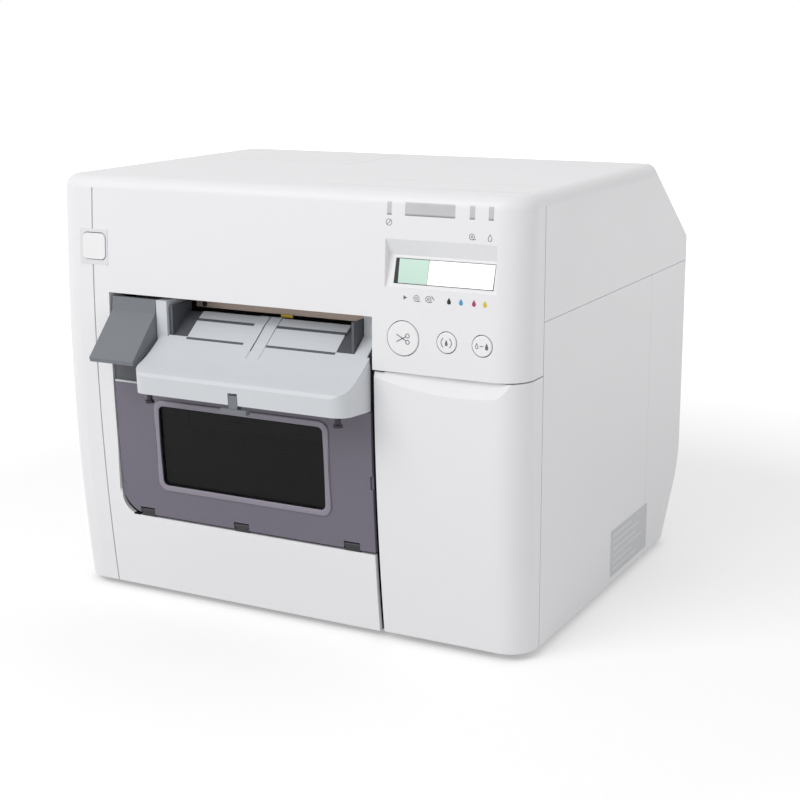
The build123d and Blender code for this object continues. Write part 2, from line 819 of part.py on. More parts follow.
nose_y = front_y - tray_reach
tray_skin = 2.2
slot_clearance = clearance
stem_x = (clip_x - 3.2, clip_x + 2.4)
with BuildPart() as eject_table:
    with BuildSketch(Plane.YZ.offset(tray_left)):
        with BuildLine():
            Polyline(
                (tray_root, beam_z[0]),
                (tray_root, tray_top),
                (nose_y + 1.5, tray_top - tray_front_drop),
                (nose_y, tray_top - tray_front_drop - 2),
                (nose_y + 0.5, tray_nose),
                close=True,
            )
        make_face()
    extrude(amount=panel_right - 0.3 - tray_left)
    fillet(eject_table.edges().filter_by(Axis.Z, tolerance=4).sort_by(Axis.Y)[:2], tray_corner)
    with BuildSketch(Plane.YZ.offset(tray_left + tray_skin)):
        with BuildLine():
            Polyline(
                (tray_root - 2, beam_z[0] - 8),
                (tray_root - 2, tray_top - 2 * tray_skin),
                (nose_y + 2 + tray_skin, tray_top - tray_front_drop - tray_skin),
                (nose_y + 2 + tray_skin, beam_z[0] - 8),
                close=True,
            )
        make_face()
    extrude(amount=panel_right - 0.3 - tray_left - 2 * tray_skin, mode=Mode.SUBTRACT)
    slab(post_x, (front_y + 0.5, post_back), (beam_z[1], post_top))
    slab((post_x[0] + 2, post_x[1] - 2), (front_y + 3, arm_back), (tray_top, post_top - 2), Mode.SUBTRACT)
    slab(
        (stem_x[0] - slot_clearance, stem_x[1] + slot_clearance),
        (nose_y - 1, nose_y + 6),
        (tray_nose - 3, tray_nose + 7),
        Mode.SUBTRACT,
    )
eject_table.part.label = "eject_table"
export_step(eject_table.part, "parts/eject_table.step")

# Clip that locks the tray, a T with its bar under the tray's edge

with BuildPart() as table_lock_clip:
    slab(stem_x, (nose_y + 0.5, nose_y + 5), (tray_nose - 4.5, tray_nose + 5.5))
    slab((clip_x - 8.6, clip_x + 8.6), (nose_y, nose_y + 4), (tray_nose - 5, tray_nose - 2.2))
table_lock_clip.part.label = "table_lock_clip"
export_step(table_lock_clip.part, "parts/table_lock_clip.step")

# Hooks under the tray

with BuildPart() as tray_hooks:
    for x in (tray_left + 5, panel_right - 10):
        bar_z(x, nose_y + 11, (beam_z[0] - 4, tray_top - tray_front_drop - 0.8), 1.7)
        bar_z(x, nose_y + 11, (beam_z[0] - 5.5, beam_z[0] - 4), 2.7)
tray_hooks.part.label = "tray_hooks"
export_step(tray_hooks.part, "parts/tray_hooks.step")

# Slats, guides and rails on the sloping bed behind the tray

slat_height = 1.2
rail_height = 1.6
groove = 0.8
guide_wall = 1.5
guide_top = deck_height + 35.5
rail_x = (tray_left + cover_right) / 2 - 4.15
slat_spans = ((tray_left + 19, rail_x - 7.4), (rail_x + 8.2, cover_right - 20.5))
guide_spans = ((post_x[1] + 1.6, slat_spans[0][0] - 0.4), (slat_spans[1][1] + 0.4, cover_right - 9))
rail_spans = ((rail_x - 7.1, rail_x - 0.5), (rail_x + 0.5, rail_x + 7.9))
foot_run = 4.5
foot_drop = tray_front_drop * foot_run / (tray_root - nose_y - 1.5)


def bed_at(y):
    """The height of the sloping bed behind the tray, at a place along Y."""
    if y <= bed_bend:
        return bed_low + (bed_mid - bed_low) * (y - bed_front) / (bed_bend - bed_front)
    if y <= bed_crest:
        return bed_mid + (bed_top - bed_mid) * (y - bed_bend) / (bed_crest - bed_bend)
    return bed_top + (bed_end - bed_top) * (y - bed_crest) / (arm_back - bed_crest)


def bed_strip(x, start, end, thickness):
    """A strip that lies on the sloping bed, with its ends given along Y."""
    run = [start] + [y for y in (bed_bend, bed_crest) if start < y < end] + [end]
    low = [(y, bed_at(y)) for y in run]
    high = [(y, bed_at(y) + thickness) for y in reversed(run)]
    with BuildPart() as strip:
        with BuildSketch(Plane.YZ.offset(x[0])):
            with BuildLine():
                Polyline(*low, *high, close=True)
            make_face()
        extrude(amount=x[1] - x[0])
    return strip.part


with BuildPart() as exit_slats:
    for span in slat_spans:
        add(bed_strip(span, bed_front, bed_bend - groove, slat_height))
        add(bed_strip(span, bed_bend + groove, post_back, slat_height))
    side_strip = (guide_spans[1][1] + 0.4, cover_right - 0.3)
    add(bed_strip(side_strip, bed_front, bed_bend, slat_height))
    slab(
        (side_strip[0], cover_right - arm_width - 0.3),
        (bed_bend, post_back),
        (bed_top + slat_height, post_top),
    )
    add(bed_strip((side_strip[0], cover_right - arm_width - 0.3), bed_bend, post_back, 6))
exit_slats.part.label = "exit_slats"
export_step(exit_slats.part, "parts/exit_slats.step")

with BuildPart() as exit_guides:
    wall_places = (
        (guide_spans[0][0], guide_spans[0][0] + guide_wall),
        (guide_spans[1][1] - guide_wall, guide_spans[1][1]),
    )
    for place in wall_places:
        add(bed_strip(place, bed_front + 0.6, post_back, post_top - bed_low))
    slab(
        (guide_spans[0][0] - 1, guide_spans[1][1] + 1),
        (bed_front, post_back),
        (deck_height, guide_top),
        Mode.INTERSECT,
    )
    for span in guide_spans:
        add(bed_strip(span, bed_front + 0.3, post_back, slat_height / 2))
exit_guides.part.label = "exit_guides"
export_step(exit_guides.part, "parts/exit_guides.step")

with BuildPart() as center_rails:
    for span in rail_spans:
        with BuildSketch(Plane.YZ.offset(span[0])):
            with BuildLine():
                Polyline(
                    (post_back, bed_at(post_back)),
                    (bed_crest, bed_top),
                    (bed_bend, bed_mid),
                    (bed_front, bed_low),
                    (bed_front, tray_top + 0.1),
                    (tray_root, tray_top + 0.1),
                    (tray_root - foot_run, tray_top - foot_drop + 0.1),
                    (tray_root - foot_run, tray_top - foot_drop + 0.7),
                    (bed_front - 0.9, bed_low + 0.8),
                    (bed_front + 0.6, bed_low + 0.4 + rail_height),
                    (bed_bend, bed_mid + rail_height),
                    (bed_crest, bed_top + rail_height),
                    (post_back, bed_at(post_back) + rail_height),
                    close=True,
                )
            make_face()
        extrude(amount=span[1] - span[0])
center_rails.part.label = "center_rails"
export_step(center_rails.part, "parts/center_rails.step")

# Chassis of sheet steel: floor, three upright plates, deck, rear plate and a tie at the top

plate_front = arm_back + 2.5
plate_back = rear_seam_y + 31
plate_top = height - 25
partition_top = deck_height + 8
rear_top = deck_height + 12
partition_front = front_at(foot_height) + wall + 0.8
ear_y = (feed_y - 8, feed_y + 22)
ear_top = deck_height + 40
bracket_y = (belt_y + 4, belt_y + 4 + sheet)
drive_x = side_x - 33
idler_x = 45 - side_x
motor_y = feed_y + 50
motor_z = deck_height - 32
drive_shaft = 2.5
runner_height = 2.1
left_x = (plate_left - sheet, plate_left)
middle_x = (partition_x, partition_x + sheet)
right_x = (plate_right, plate_right + sheet)
with BuildPart() as chassis:
    slab((left_x[0], middle_x[1]), (floor_front + 5, plate_back), (floor_top - sheet, floor_top))
    slab((middle_x[0], right_x[1]), (ink_sweep_y, plate_back), (floor_top - sheet, floor_top))
    slab(left_x, (plate_front, plate_back), (floor_top, plate_top))
    slab(right_x, (plate_front, plate_back), (floor_top, plate_top))
    slab(middle_x, (partition_front, plate_back), (floor_top, partition_top))
    slab(middle_x, ear_y, (partition_top, ear_top))
    slab((left_x[0], right_x[1]), (plate_back, plate_back + sheet), (floor_top - sheet, rear_top))
    slab((plate_left, partition_x), (plate_front, feed_y - 12), (deck_height - sheet, deck_height))
    slab((plate_left, partition_x), (feed_y + 18, plate_back), (deck_height - sheet, deck_height))
    slab((left_x[0], right_x[1]), (plate_back - 50, plate_back - 10), (plate_top, plate_top + sheet))
    slab((drive_x - 22, plate_right), bracket_y, (guide_z, plate_top))
    slab((plate_left, idler_x + 8), bracket_y, (belt_z - 10, plate_top))
    bar_y(idler_x, (belt_y - 3, bracket_y[0]), belt_z, 2)
    bar_y(drive_x, bracket_y, belt_z, drive_shaft + bore_play, Mode.SUBTRACT)
    for x in (side_x - 75, side_x - 25):
        slab((x, x + sheet), (ink_sweep_y + 1, seam_y + 78), (floor_top, floor_top + runner_height))
    for x in tab_places:
        tab_x = (x, x + ear_width)
        bar_x(tab_x, ink_hinge_y, ink_hinge_z, 2.8)
        slab(tab_x, (ink_hinge_y, seam_y), (ink_hinge_z - 2.8, ink_hinge_z + 2.8))
        slab(tab_x, (seam_y, seam_y + 4), (floor_top - sheet, ink_hinge_z + 2.8))
        bar_x(tab_x, ink_hinge_y, ink_hinge_z, ink_pin_radius, Mode.SUBTRACT)
    bar_x((left_x[0], right_x[1]), guide_y, guide_z, guide_radius, Mode.SUBTRACT)
    bar_x((left_x[0], middle_x[1]), feed_y, feed_z, journal_radius + bore_play, Mode.SUBTRACT)
    bar_x((left_x[0], middle_x[1]), spindle_y, spindle_z, spindle_journal + bore_play, Mode.SUBTRACT)
    bar_x(left_x, motor_y, motor_z, drive_shaft + bore_play, Mode.SUBTRACT)
chassis.part.label = "chassis"
export_step(chassis.part, "parts/chassis.step")

# Roll holder: a spindle with one fixed flange and one that slides to the roll's width

flange_thickness = 3
fixed_x = plate_left + 7
movable_x = partition_x - 20
flange_travel = 60
with BuildPart() as roll_spindle:
    bar_x((fixed_x, fixed_x + flange_thickness), spindle_y, spindle_z, flange_radius)
    fillet(roll_spindle.edges().filter_by(GeomType.CIRCLE), 1)
    bar_x((fixed_x, fixed_x + flange_thickness + 8), spindle_y, spindle_z, spindle_radius + 3)
    bar_x((fixed_x - 3, partition_x - 3), spindle_y, spindle_z, spindle_radius)
    bar_x((left_x[0] - 2, middle_x[1] - 0.4), spindle_y, spindle_z, spindle_journal)
roll_spindle.part.label = "roll_spindle"
export_step(roll_spindle.part, "parts/roll_spindle.step")

with BuildPart() as movable_flange:
    bar_x((movable_x, movable_x + flange_thickness), spindle_y, spindle_z, flange_radius)
    fillet(movable_flange.edges().filter_by(GeomType.CIRCLE), 1)
    bar_x((movable_x, movable_x + 14), spindle_y, spindle_z, 15)
    with Locations(Location((movable_x + 9, spindle_y, spindle_z), (0, 90, 0))):
        with PolarLocations(15, 12):
            Cylinder(1.6, 10, mode=Mode.SUBTRACT)
    bar_x((movable_x, movable_x + 14), spindle_y, spindle_z, spindle_radius + bore_play, Mode.SUBTRACT)
movable_flange.part.label = "movable_flange"
export_step(movable_flange.part, "parts/movable_flange.step")

# Feed roller with its pulley, belt and motor on the left

feed_pulley_radius = 12
motor_pulley_radius = 6
feed_pulley_x = (left_x[0] - 10, left_x[0] - 3)
with BuildPart() as feed_roller:
    bar_x((plate_left + 4, partition_x - 4), feed_y, feed_z, feed_radius)
    bar_x((feed_pulley_x[0] - 1, middle_x[1] + 1), feed_y, feed_z, journal_radius)
feed_roller.part.label = "feed_roller"
export_step(feed_roller.part, "parts/feed_roller.step")

with BuildPart() as feed_pulley:
    bar_x(feed_pulley_x, feed_y, feed_z, feed_pulley_radius)
    with Locations(Location((sum(feed_pulley_x) / 2, feed_y, feed_z), (0, 90, 0))):
        with PolarLocations(feed_pulley_radius, 36):
            Cylinder(0.4, 7, mode=Mode.SUBTRACT)
        with PolarLocations(8, 5):
            Cylinder(1.8, 7, mode=Mode.SUBTRACT)
    bar_x(feed_pulley_x, feed_y, feed_z, journal_radius, Mode.SUBTRACT)
feed_pulley.part.label = "feed_pulley"
export_step(feed_pulley.part, "parts/feed_pulley.step")

with BuildPart() as motor_pulley:
    bar_x(feed_pulley_x, motor_y, motor_z, motor_pulley_radius)
    with Locations(Location((sum(feed_pulley_x) / 2, motor_y, motor_z), (0, 90, 0))):
        with PolarLocations(motor_pulley_radius, 18):
            Cylinder(0.4, 7, mode=Mode.SUBTRACT)
    bar_x((feed_pulley_x[1], plate_left + 0.5), motor_y, motor_z, drive_shaft)
motor_pulley.part.label = "motor_pulley"
export_step(motor_pulley.part, "parts/motor_pulley.step")


def belt_loop(plane, first, second, gap, thickness):
    """The section of a belt round two pulleys, each given as (u, v, radius) on a plane."""
    with BuildSketch(plane) as loop:
        with BuildSketch(mode=Mode.PRIVATE) as inner:
            for u, v, radius in (first, second):
                with Locations((u, v)):
                    Circle(radius + gap)
            make_hull()
        with BuildSketch(mode=Mode.PRIVATE) as outer:
            for u, v, radius in (first, second):
                with Locations((u, v)):
                    Circle(radius + gap + thickness)
            make_hull()
        add(outer.sketch)
        add(inner.sketch, mode=Mode.SUBTRACT)
    return loop.sketch


with BuildPart() as feed_belt:
    belt_plane = Plane.YZ.offset(feed_pulley_x[0] + 0.5)
    wheels = ((feed_y, feed_z, feed_pulley_radius), (motor_y, motor_z, motor_pulley_radius))
    extrude(belt_loop(belt_plane, wheels[0], wheels[1], fine_seam, belt_thickness), amount=belt_width)
feed_belt.part.label = "feed_belt"
export_step(feed_belt.part, "parts/feed_belt.step")

with BuildPart() as feed_motor:
    bar_x((plate_left, plate_left + 26), motor_y, motor_z, 17)
    fillet(feed_motor.edges().filter_by(GeomType.CIRCLE).sort_by(Axis.X)[-1], 2)
    bar_x((plate_left, plate_left + 3), motor_y, motor_z, drive_shaft + 1, Mode.SUBTRACT)
feed_motor.part.label = "feed_motor"
export_step(feed_motor.part, "parts/feed_motor.step")

# Pinch rollers over the feed roller, in their frame

pinch_radius = 4
pinch_z = feed_z + feed_radius + clearance + pinch_radius
pinch_middle = (plate_left + partition_x) / 2
pinch_spans = (
    (plate_left + 15, plate_left + 43),
    (pinch_middle - 14, pinch_middle + 14),
    (partition_x - 43, partition_x - 15),
)
with BuildPart() as pinch_frame:
    slab((plate_left, partition_x), (feed_y + 6, feed_y + 22), (ear_top - 3, ear_top))
    for x in (plate_left, plate_left + 59, partition_x - 63, partition_x - 3):
        slab((x, x + 3), (feed_y - 2, feed_y + 22), (pinch_z - 2.5, ear_top))
    bar_x((plate_left, partition_x), feed_y, pinch_z, 1.5)
pinch_frame.part.label = "pinch_frame"
export_step(pinch_frame.part, "parts/pinch_frame.step")

with BuildPart() as pinch_rollers:
    for span in pinch_spans:
        bar_x(span, feed_y, pinch_z, pinch_radius)
        bar_x(span, feed_y, pinch_z, 1.5 + bore_play, Mode.SUBTRACT)
pinch_rollers.part.label = "pinch_rollers"
export_step(pinch_rollers.part, "parts/pinch_rollers.step")

# Platen that the labels pass over under the print head

platen_top = feed_z + feed_radius - 2
platen_y = (feed_y - 72, feed_y - 13)
platen_ribs = 12
platen_pitch = (partition_x - plate_left - 17) / (platen_ribs - 1)
with BuildPart() as platen:
    slab((plate_left + 5, partition_x - 5), platen_y, (deck_height, platen_top - 1))
    for rib in range(platen_ribs):
        rib_x = plate_left + 8 + platen_pitch * rib
        slab((rib_x, rib_x + 2), platen_y, (platen_top - 1, platen_top + 1.5))
platen.part.label = "platen"
export_step(platen.part, "parts/platen.step")

# Cutter across the exit: its frame and the blade that runs along it

cutter_y = (front_y + 38.5, front_y + 60.5)
cutter_slot = (deck_height + 24, deck_height + 32)
cutter_top = deck_height + 45
cutter_x = (plate_left, partition_x)
blade_start = plate_left + 22
blade_travel = 138
with BuildPart() as cutter_frame:
    slab(cutter_x, cutter_y, (deck_height, cutter_top))
    slab((cutter_x[0] + 6, cutter_x[1] - 6), (cutter_y[0] - 1, cutter_y[1] + 1), cutter_slot, Mode.SUBTRACT)
    slab(
        (cutter_x[0] + 6, cutter_x[1] - 6),
        (cutter_y[0] + 4, cutter_y[1] - 4),
        (cutter_slot[1] - 1, cutter_top - 3),
        Mode.SUBTRACT,
    )
cutter_frame.part.label = "cutter_frame"
export_step(cutter_frame.part, "parts/cutter_frame.step")

with BuildPart() as cutter_blade:
    blade_y = (cutter_y[0] + cutter_y[1]) / 2
    slab(
        (blade_start - 8, blade_start + 8),
        (cutter_y[0] + 4.4, cutter_y[1] - 4.4),
        (cutter_slot[1], cutter_top - 3.4),
    )
    bar_y(blade_start, (blade_y - 0.6, blade_y + 0.6), cutter_slot[1], cutter_slot[1] - cutter_slot[0] - 0.6)
cutter_blade.part.label = "cutter_blade"
export_step(cutter_blade.part, "parts/cutter_blade.step")

# Print carriage on its shaft, with the head below it

head_bottom = deck_height + 29
carriage_y = (guide_y - 28, guide_y + 32)
carriage_bottom = deck_height + 34
carriage_x = (carriage_right - carriage_width, carriage_right)
clamp_x = (carriage_x[0] + 10, carriage_x[0] + 22)
lower_run = (belt_z - pulley_radius - fine_seam - belt_thickness, belt_z - pulley_radius - fine_seam)
with BuildPart() as carriage_shaft:
    bar_x((left_x[0] - 1, right_x[1] + 1), guide_y, guide_z, guide_radius)
carriage_shaft.part.label = "carriage_shaft"
export_step(carriage_shaft.part, "parts/carriage_shaft.step")

with BuildPart() as print_carriage:
    slab(carriage_x, carriage_y, (carriage_bottom, plate_top))
    bar_x(carriage_x, guide_y, guide_z, guide_radius + bore_play, Mode.SUBTRACT)
    clamp_y = (carriage_y[1], belt_y + belt_width / 2 + 0.5)
    slab(clamp_x, clamp_y, (lower_run[0] - 3.3, lower_run[0] - fine_seam))
    slab(clamp_x, clamp_y, (lower_run[1] + fine_seam, lower_run[1] + 2.3))
print_carriage.part.label = "print_carriage"
export_step(print_carriage.part, "parts/print_carriage.step")

with BuildPart() as print_head:
    head_x = (carriage_x[0] + 4, carriage_x[1] - 4)
    slab(head_x, (carriage_y[0] + 8, carriage_y[1] - 10), (head_bottom, carriage_bottom))
    chamfer(print_head.faces().sort_by(Axis.Z)[0].edges(), 1)
print_head.part.label = "print_head"
export_step(print_head.part, "parts/print_head.step")

with BuildPart() as carriage_belt:
    belt_plane = Plane.XZ.offset(-belt_y - belt_width / 2)
    wheels = ((drive_x, belt_z, pulley_radius), (idler_x, belt_z, pulley_radius))
    extrude(belt_loop(belt_plane, wheels[0], wheels[1], fine_seam, belt_thickness), amount=belt_width)
carriage_belt.part.label = "carriage_belt"
export_step(carriage_belt.part, "parts/carriage_belt.step")

pulley_y = (belt_y - 3.2, belt_y + 3.2)
with BuildPart() as drive_pulley:
    bar_y(drive_x, pulley_y, belt_z, pulley_radius)
    with Locations(Location((drive_x, belt_y, belt_z), (90, 0, 0))):
        with PolarLocations(pulley_radius, 18):
            Cylinder(0.4, 7, mode=Mode.SUBTRACT)
    bar_y(drive_x, (pulley_y[1], bracket_y[1] - 0.5), belt_z, drive_shaft)
drive_pulley.part.label = "drive_pulley"
export_step(drive_pulley.part, "parts/drive_pulley.step")

with BuildPart() as idler_pulley:
    bar_y(idler_x, pulley_y, belt_z, pulley_radius)
    bar_y(idler_x, pulley_y, belt_z, 2 + bore_play, Mode.SUBTRACT)
idler_pulley.part.label = "idler_pulley"
export_step(idler_pulley.part, "parts/idler_pulley.step")

with BuildPart() as carriage_motor:
    bar_y(drive_x, (bracket_y[1], bracket_y[1] + 30), belt_z, 17)
    fillet(carriage_motor.edges().filter_by(GeomType.CIRCLE).sort_by(Axis.Y)[-1], 2)
carriage_motor.part.label = "carriage_motor"
export_step(carriage_motor.part, "parts/carriage_motor.step")

# Ink bay with its cartridges, and the waste box below it

bay_x = (middle_x[1], plate_right)
bay_floor = 50
bay_y = (seam_y - 4, seam_y + 90)
divider = 1.6
bay_pitch = (bay_x[1] - bay_x[0]) / cartridge_count
cartridge_top = panel_bottom - 24.5
with BuildPart() as ink_bay:
    slab(bay_x, bay_y, (bay_floor - 2, bay_floor))
    slab(bay_x, (bay_y[1] - 2, bay_y[1]), (bay_floor, cartridge_top + 4))
    slab(bay_x, bay_y, (cartridge_top + 2, cartridge_top + 4))
    for slot in range(cartridge_count + 1):
        x = bay_x[0] + slot * bay_pitch
        low = max(x - divider / 2, bay_x[0])
        slab((low, min(x + divider / 2, bay_x[1])), bay_y, (bay_floor, cartridge_top + 2))
ink_bay.part.label = "ink_bay"
export_step(ink_bay.part, "parts/ink_bay.step")


def cartridge(slot):
    """One ink cartridge, in its slot counted from the left."""
    middle = bay_x[0] + (slot + 0.5) * bay_pitch
    with BuildPart() as body:
        slab(
            (middle - cartridge_width / 2, middle + cartridge_width / 2),
            (bay_y[0] + 2, bay_y[1] - 2.4),
            (bay_floor + clearance, cartridge_top),
        )
        fillet(body.edges().filter_by(Axis.X).sort_by(Axis.Y)[:2], 3)
        grip_z = (cartridge_top - 26, cartridge_top - 12)
        slab((middle - 6, middle + 6), (bay_y[0] + 1, bay_y[0] + 6), grip_z, Mode.SUBTRACT)
    return body.part


with BuildPart() as cartridge_black:
    add(cartridge(0))
cartridge_black.part.label = "cartridge_black"
export_step(cartridge_black.part, "parts/cartridge_black.step")

with BuildPart() as cartridge_cyan:
    add(cartridge(1))
cartridge_cyan.part.label = "cartridge_cyan"
export_step(cartridge_cyan.part, "parts/cartridge_cyan.step")

with BuildPart() as cartridge_magenta:
    add(cartridge(2))
cartridge_magenta.part.label = "cartridge_magenta"
export_step(cartridge_magenta.part, "parts/cartridge_magenta.step")

with BuildPart() as cartridge_yellow:
    add(cartridge(3))
cartridge_yellow.part.label = "cartridge_yellow"
export_step(cartridge_yellow.part, "parts/cartridge_yellow.step")

with BuildPart() as maintenance_box:
    box_z = (floor_top + runner_height + clearance, bay_floor - 4)
    slab((bay_x[0] + 5, bay_x[1] - 5), (bay_y[0] + 2, bay_y[1] - 12), box_z)
    slab((bay_x[0] + 31, bay_x[0] + 51), (bay_y[0] + 1, bay_y[0] + 7), (26, 38), Mode.SUBTRACT)
maintenance_box.part.label = "maintenance_box"
export_step(maintenance_box.part, "parts/maintenance_box.step")

# Electronics at the back

with BuildPart() as main_board:
    board_y = plate_back - 6
    board_z = (40, deck_height - 12)
    slab((plate_left + 9, partition_x - 23), (board_y, board_y + board_thickness), board_z)
    slab((plate_left + 59, plate_left + 89), (board_y - 3, board_y), (80, 110))
    slab((partition_x - 63, partition_x - 39), (board_y - 8, board_y), (60, 76))
    slab((plate_left + 15, plate_left + 39), (board_y - 10, board_y), (board_z[1] - 22, board_z[1] - 6))
    post_places = (
        (plate_left + 15, board_z[0] + 6),
        (partition_x - 29, board_z[0] + 6),
        (plate_left + 15, board_z[1] - 28),
        (partition_x - 29, board_z[1] - 6),
    )
    for x, z in post_places:
        bar_y(x, (board_y + board_thickness, plate_back), z, 3)
main_board.part.label = "main_board"
export_step(main_board.part, "parts/main_board.step")

with BuildPart() as power_supply:
    slab((partition_x + 9, plate_right - 4), (seam_y + 118, plate_back - 2), (floor_top, 58))
    for vent in range(8):
        vent_x = partition_x + 15 + 7 * vent
        slab((vent_x, vent_x + 3), (seam_y + 128, plate_back - 22), (57, 59), Mode.SUBTRACT)
power_supply.part.label = "power_supply"
export_step(power_supply.part, "parts/power_supply.step")

with BuildPart() as ac_inlet:
    fit_x = (inlet_x[0] + 0.2, inlet_x[1] - 0.2)
    fit_z = (inlet_z[0] + 0.2, inlet_z[1] - 0.2)
    slab(fit_x, (back_y - 22, back_y - 0.5), fit_z)
    slab((fit_x[0] + 2, fit_x[1] - 2), (back_y - 16, back_y), (fit_z[0] + 2, fit_z[1] - 2), Mode.SUBTRACT)
    middle = ((fit_x[0] + fit_x[1]) / 2, (fit_z[0] + fit_z[1]) / 2)
    for dx, dz in ((-7, -2), (0, 2), (7, -2)):
        slab(
            (middle[0] + dx - 1, middle[0] + dx + 1),
            (back_y - 17, back_y - 4),
            (middle[1] + dz - 2, middle[1] + dz + 2),
        )
ac_inlet.part.label = "ac_inlet"
export_step(ac_inlet.part, "parts/ac_inlet.step")

port_cuts = ((4, 14, 10), (24, 12, 11), (42, 16, 12))
port_fit = 0.2
with BuildPart() as data_ports:
    block_x = (port_x[0] + port_fit, port_x[1] - port_fit)
    slab(block_x, (back_y - 18, back_y - 0.8), (port_z[0] + port_fit, port_z[1] - port_fit))
    for start, cut_width, cut_height in port_cuts:
        cut_left = port_x[0] + start
        cut_low = port_z[0] + 2
        cut_span = (cut_left, cut_left + cut_width)
        slab(cut_span, (back_y - 14, back_y), (cut_low, cut_low + cut_height), Mode.SUBTRACT)
        slab((cut_left + 3, cut_span[1] - 3), (back_y - 15, back_y - 5), (cut_low + 4, cut_low + 6))
data_ports.part.label = "data_ports"
export_step(data_ports.part, "parts/data_ports.step")

# Guide for fan-fold labels that come in at the back

with BuildPart() as rear_paper_guide:
    slab((slot_x[0] - 2, slot_x[1] + 2), (feed_y + 24, back_y - wall - 1), (rear_top, rear_top + 1.6))
    for x in (slot_x[0] - 2, slot_x[1]):
        slab((x, x + 2), (feed_y + 24, back_y - wall - 1), (rear_top + 1.6, slot_z[1]))
rear_paper_guide.part.label = "rear_paper_guide"
export_step(rear_paper_guide.part, "parts/rear_paper_guide.step")

# Screws that hold the back of the casing

with BuildPart() as casing_screws:
    for x in screw_x:
        for z in screw_z:
            bar_y(x, (back_y - 1.7, back_y - 0.4), z, 3.7)
            bar_y(x, (back_y - 11, back_y - 1.7), z, 1.5)
casing_screws.part.label = "casing_screws"
export_step(casing_screws.part, "parts/casing_screws.step")
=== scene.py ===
import math

import bmesh
import bpy
import numpy as np
from mathutils import Matrix, Vector


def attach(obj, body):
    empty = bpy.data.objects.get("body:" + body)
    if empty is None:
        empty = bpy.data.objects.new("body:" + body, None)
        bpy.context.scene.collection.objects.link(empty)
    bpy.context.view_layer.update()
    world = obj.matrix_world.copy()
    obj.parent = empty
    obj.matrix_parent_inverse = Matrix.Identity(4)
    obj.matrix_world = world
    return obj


# A desktop label printer. Metres, with +X its right side, +Y its back and +Z up.

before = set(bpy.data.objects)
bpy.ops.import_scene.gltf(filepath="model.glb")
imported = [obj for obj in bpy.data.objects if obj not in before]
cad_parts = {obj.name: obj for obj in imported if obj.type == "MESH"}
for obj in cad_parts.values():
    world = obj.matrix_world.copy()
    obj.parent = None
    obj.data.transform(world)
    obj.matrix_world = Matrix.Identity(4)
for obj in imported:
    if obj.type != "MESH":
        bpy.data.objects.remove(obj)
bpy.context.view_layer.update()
mm = 0.001

# Camera, where the photographer's stood

camera = {
    "place": (0.46895, -0.85796, 0.35117),
    "yaw": 28.01,  # degrees to the left of straight back
    "pitch": -14.171,
    "roll": -0.39,
    "lens": 69.72,
    "sensor": 36,
    "shift": (0.0047, 0.0108),
    "clip": (0.01, 50),
}


def placeCamera(look):
    yaw, pitch, roll = (math.radians(look[k]) for k in ("yaw", "pitch", "roll"))
    ahead = Vector((-math.sin(yaw) * math.cos(pitch), math.cos(yaw) * math.cos(pitch), math.sin(pitch)))
    side = Vector((math.cos(yaw), math.sin(yaw), 0))
    upward = side.cross(ahead)
    right = side * math.cos(roll) + upward * math.sin(roll)
    top = -side * math.sin(roll) + upward * math.cos(roll)
    data = bpy.data.cameras.new("camera")
    data.lens = look["lens"]
    data.sensor_width = look["sensor"]
    data.shift_x, data.shift_y = look["shift"]
    data.clip_start, data.clip_end = look["clip"]
    eye = bpy.data.objects.new("camera", data)
    eye.matrix_world = Matrix.Translation(look["place"]) @ Matrix((right, top, -ahead)).transposed().to_4x4()
    bpy.context.scene.collection.objects.link(eye)
    bpy.context.scene.camera = eye


placeCamera(camera)

# Light, background and floor

studio = {
    "sky": 0.62,  # strength of the white room round the printer
    "key": {"place": (-0.7, -1.6, 1.5), "size": 1.3, "watts": 17},
    "fill": {"place": (1.9, -0.9, 0.9), "size": 1.4, "watts": 2},
    "aim": (0, 0, 0.12),  # what both lamps point at
    "floorSize": 8,
    "floorAlbedo": 0.8,
    "floorGlow": 0.32,  # added as the eye sees it, so that the lit floor is white
    "horizonGlow": 1.0,  # the same far off, where the lamps don't reach
    "horizonReach": (0.35, 1.6),  # from the middle, where the glow starts to rise and where it is full
}


def seenByEye(nodes, links):  # 1 for camera, glossy and transmission rays, 0 for those that light
    path = nodes.new("ShaderNodeLightPath")
    shown = path.outputs["Is Camera Ray"]
    for ray in ("Is Glossy Ray", "Is Transmission Ray"):
        either = nodes.new("ShaderNodeMath")
        either.operation = "MAXIMUM"
        links.new(shown, either.inputs[0])
        links.new(path.outputs[ray], either.inputs[1])
        shown = either.outputs[0]
    return shown


def lightRoom(look):
    world = bpy.data.worlds.new("whiteRoom")
    bpy.context.scene.world = world
    world.use_nodes = True
    nodes, links = world.node_tree.nodes, world.node_tree.links
    strength = nodes.new("ShaderNodeMapRange")
    strength.inputs["To Min"].default_value = look["sky"]
    strength.inputs["To Max"].default_value = 1
    links.new(seenByEye(nodes, links), strength.inputs["Value"])
    background = nodes["Background"]
    background.inputs["Color"].default_value = (1, 1, 1, 1)
    links.new(strength.outputs[0], background.inputs["Strength"])
    for name in ("key", "fill"):
        lamp = bpy.data.lights.new(name, "AREA")
        lamp.energy = look[name]["watts"]
        lamp.size = look[name]["size"]
        holder = bpy.data.objects.new(name, lamp)
        holder.location = look[name]["place"]
        aim = Vector(look["aim"]) - holder.location
        holder.rotation_euler = aim.to_track_quat("-Z", "Y").to_euler()
        bpy.context.scene.collection.objects.link(holder)


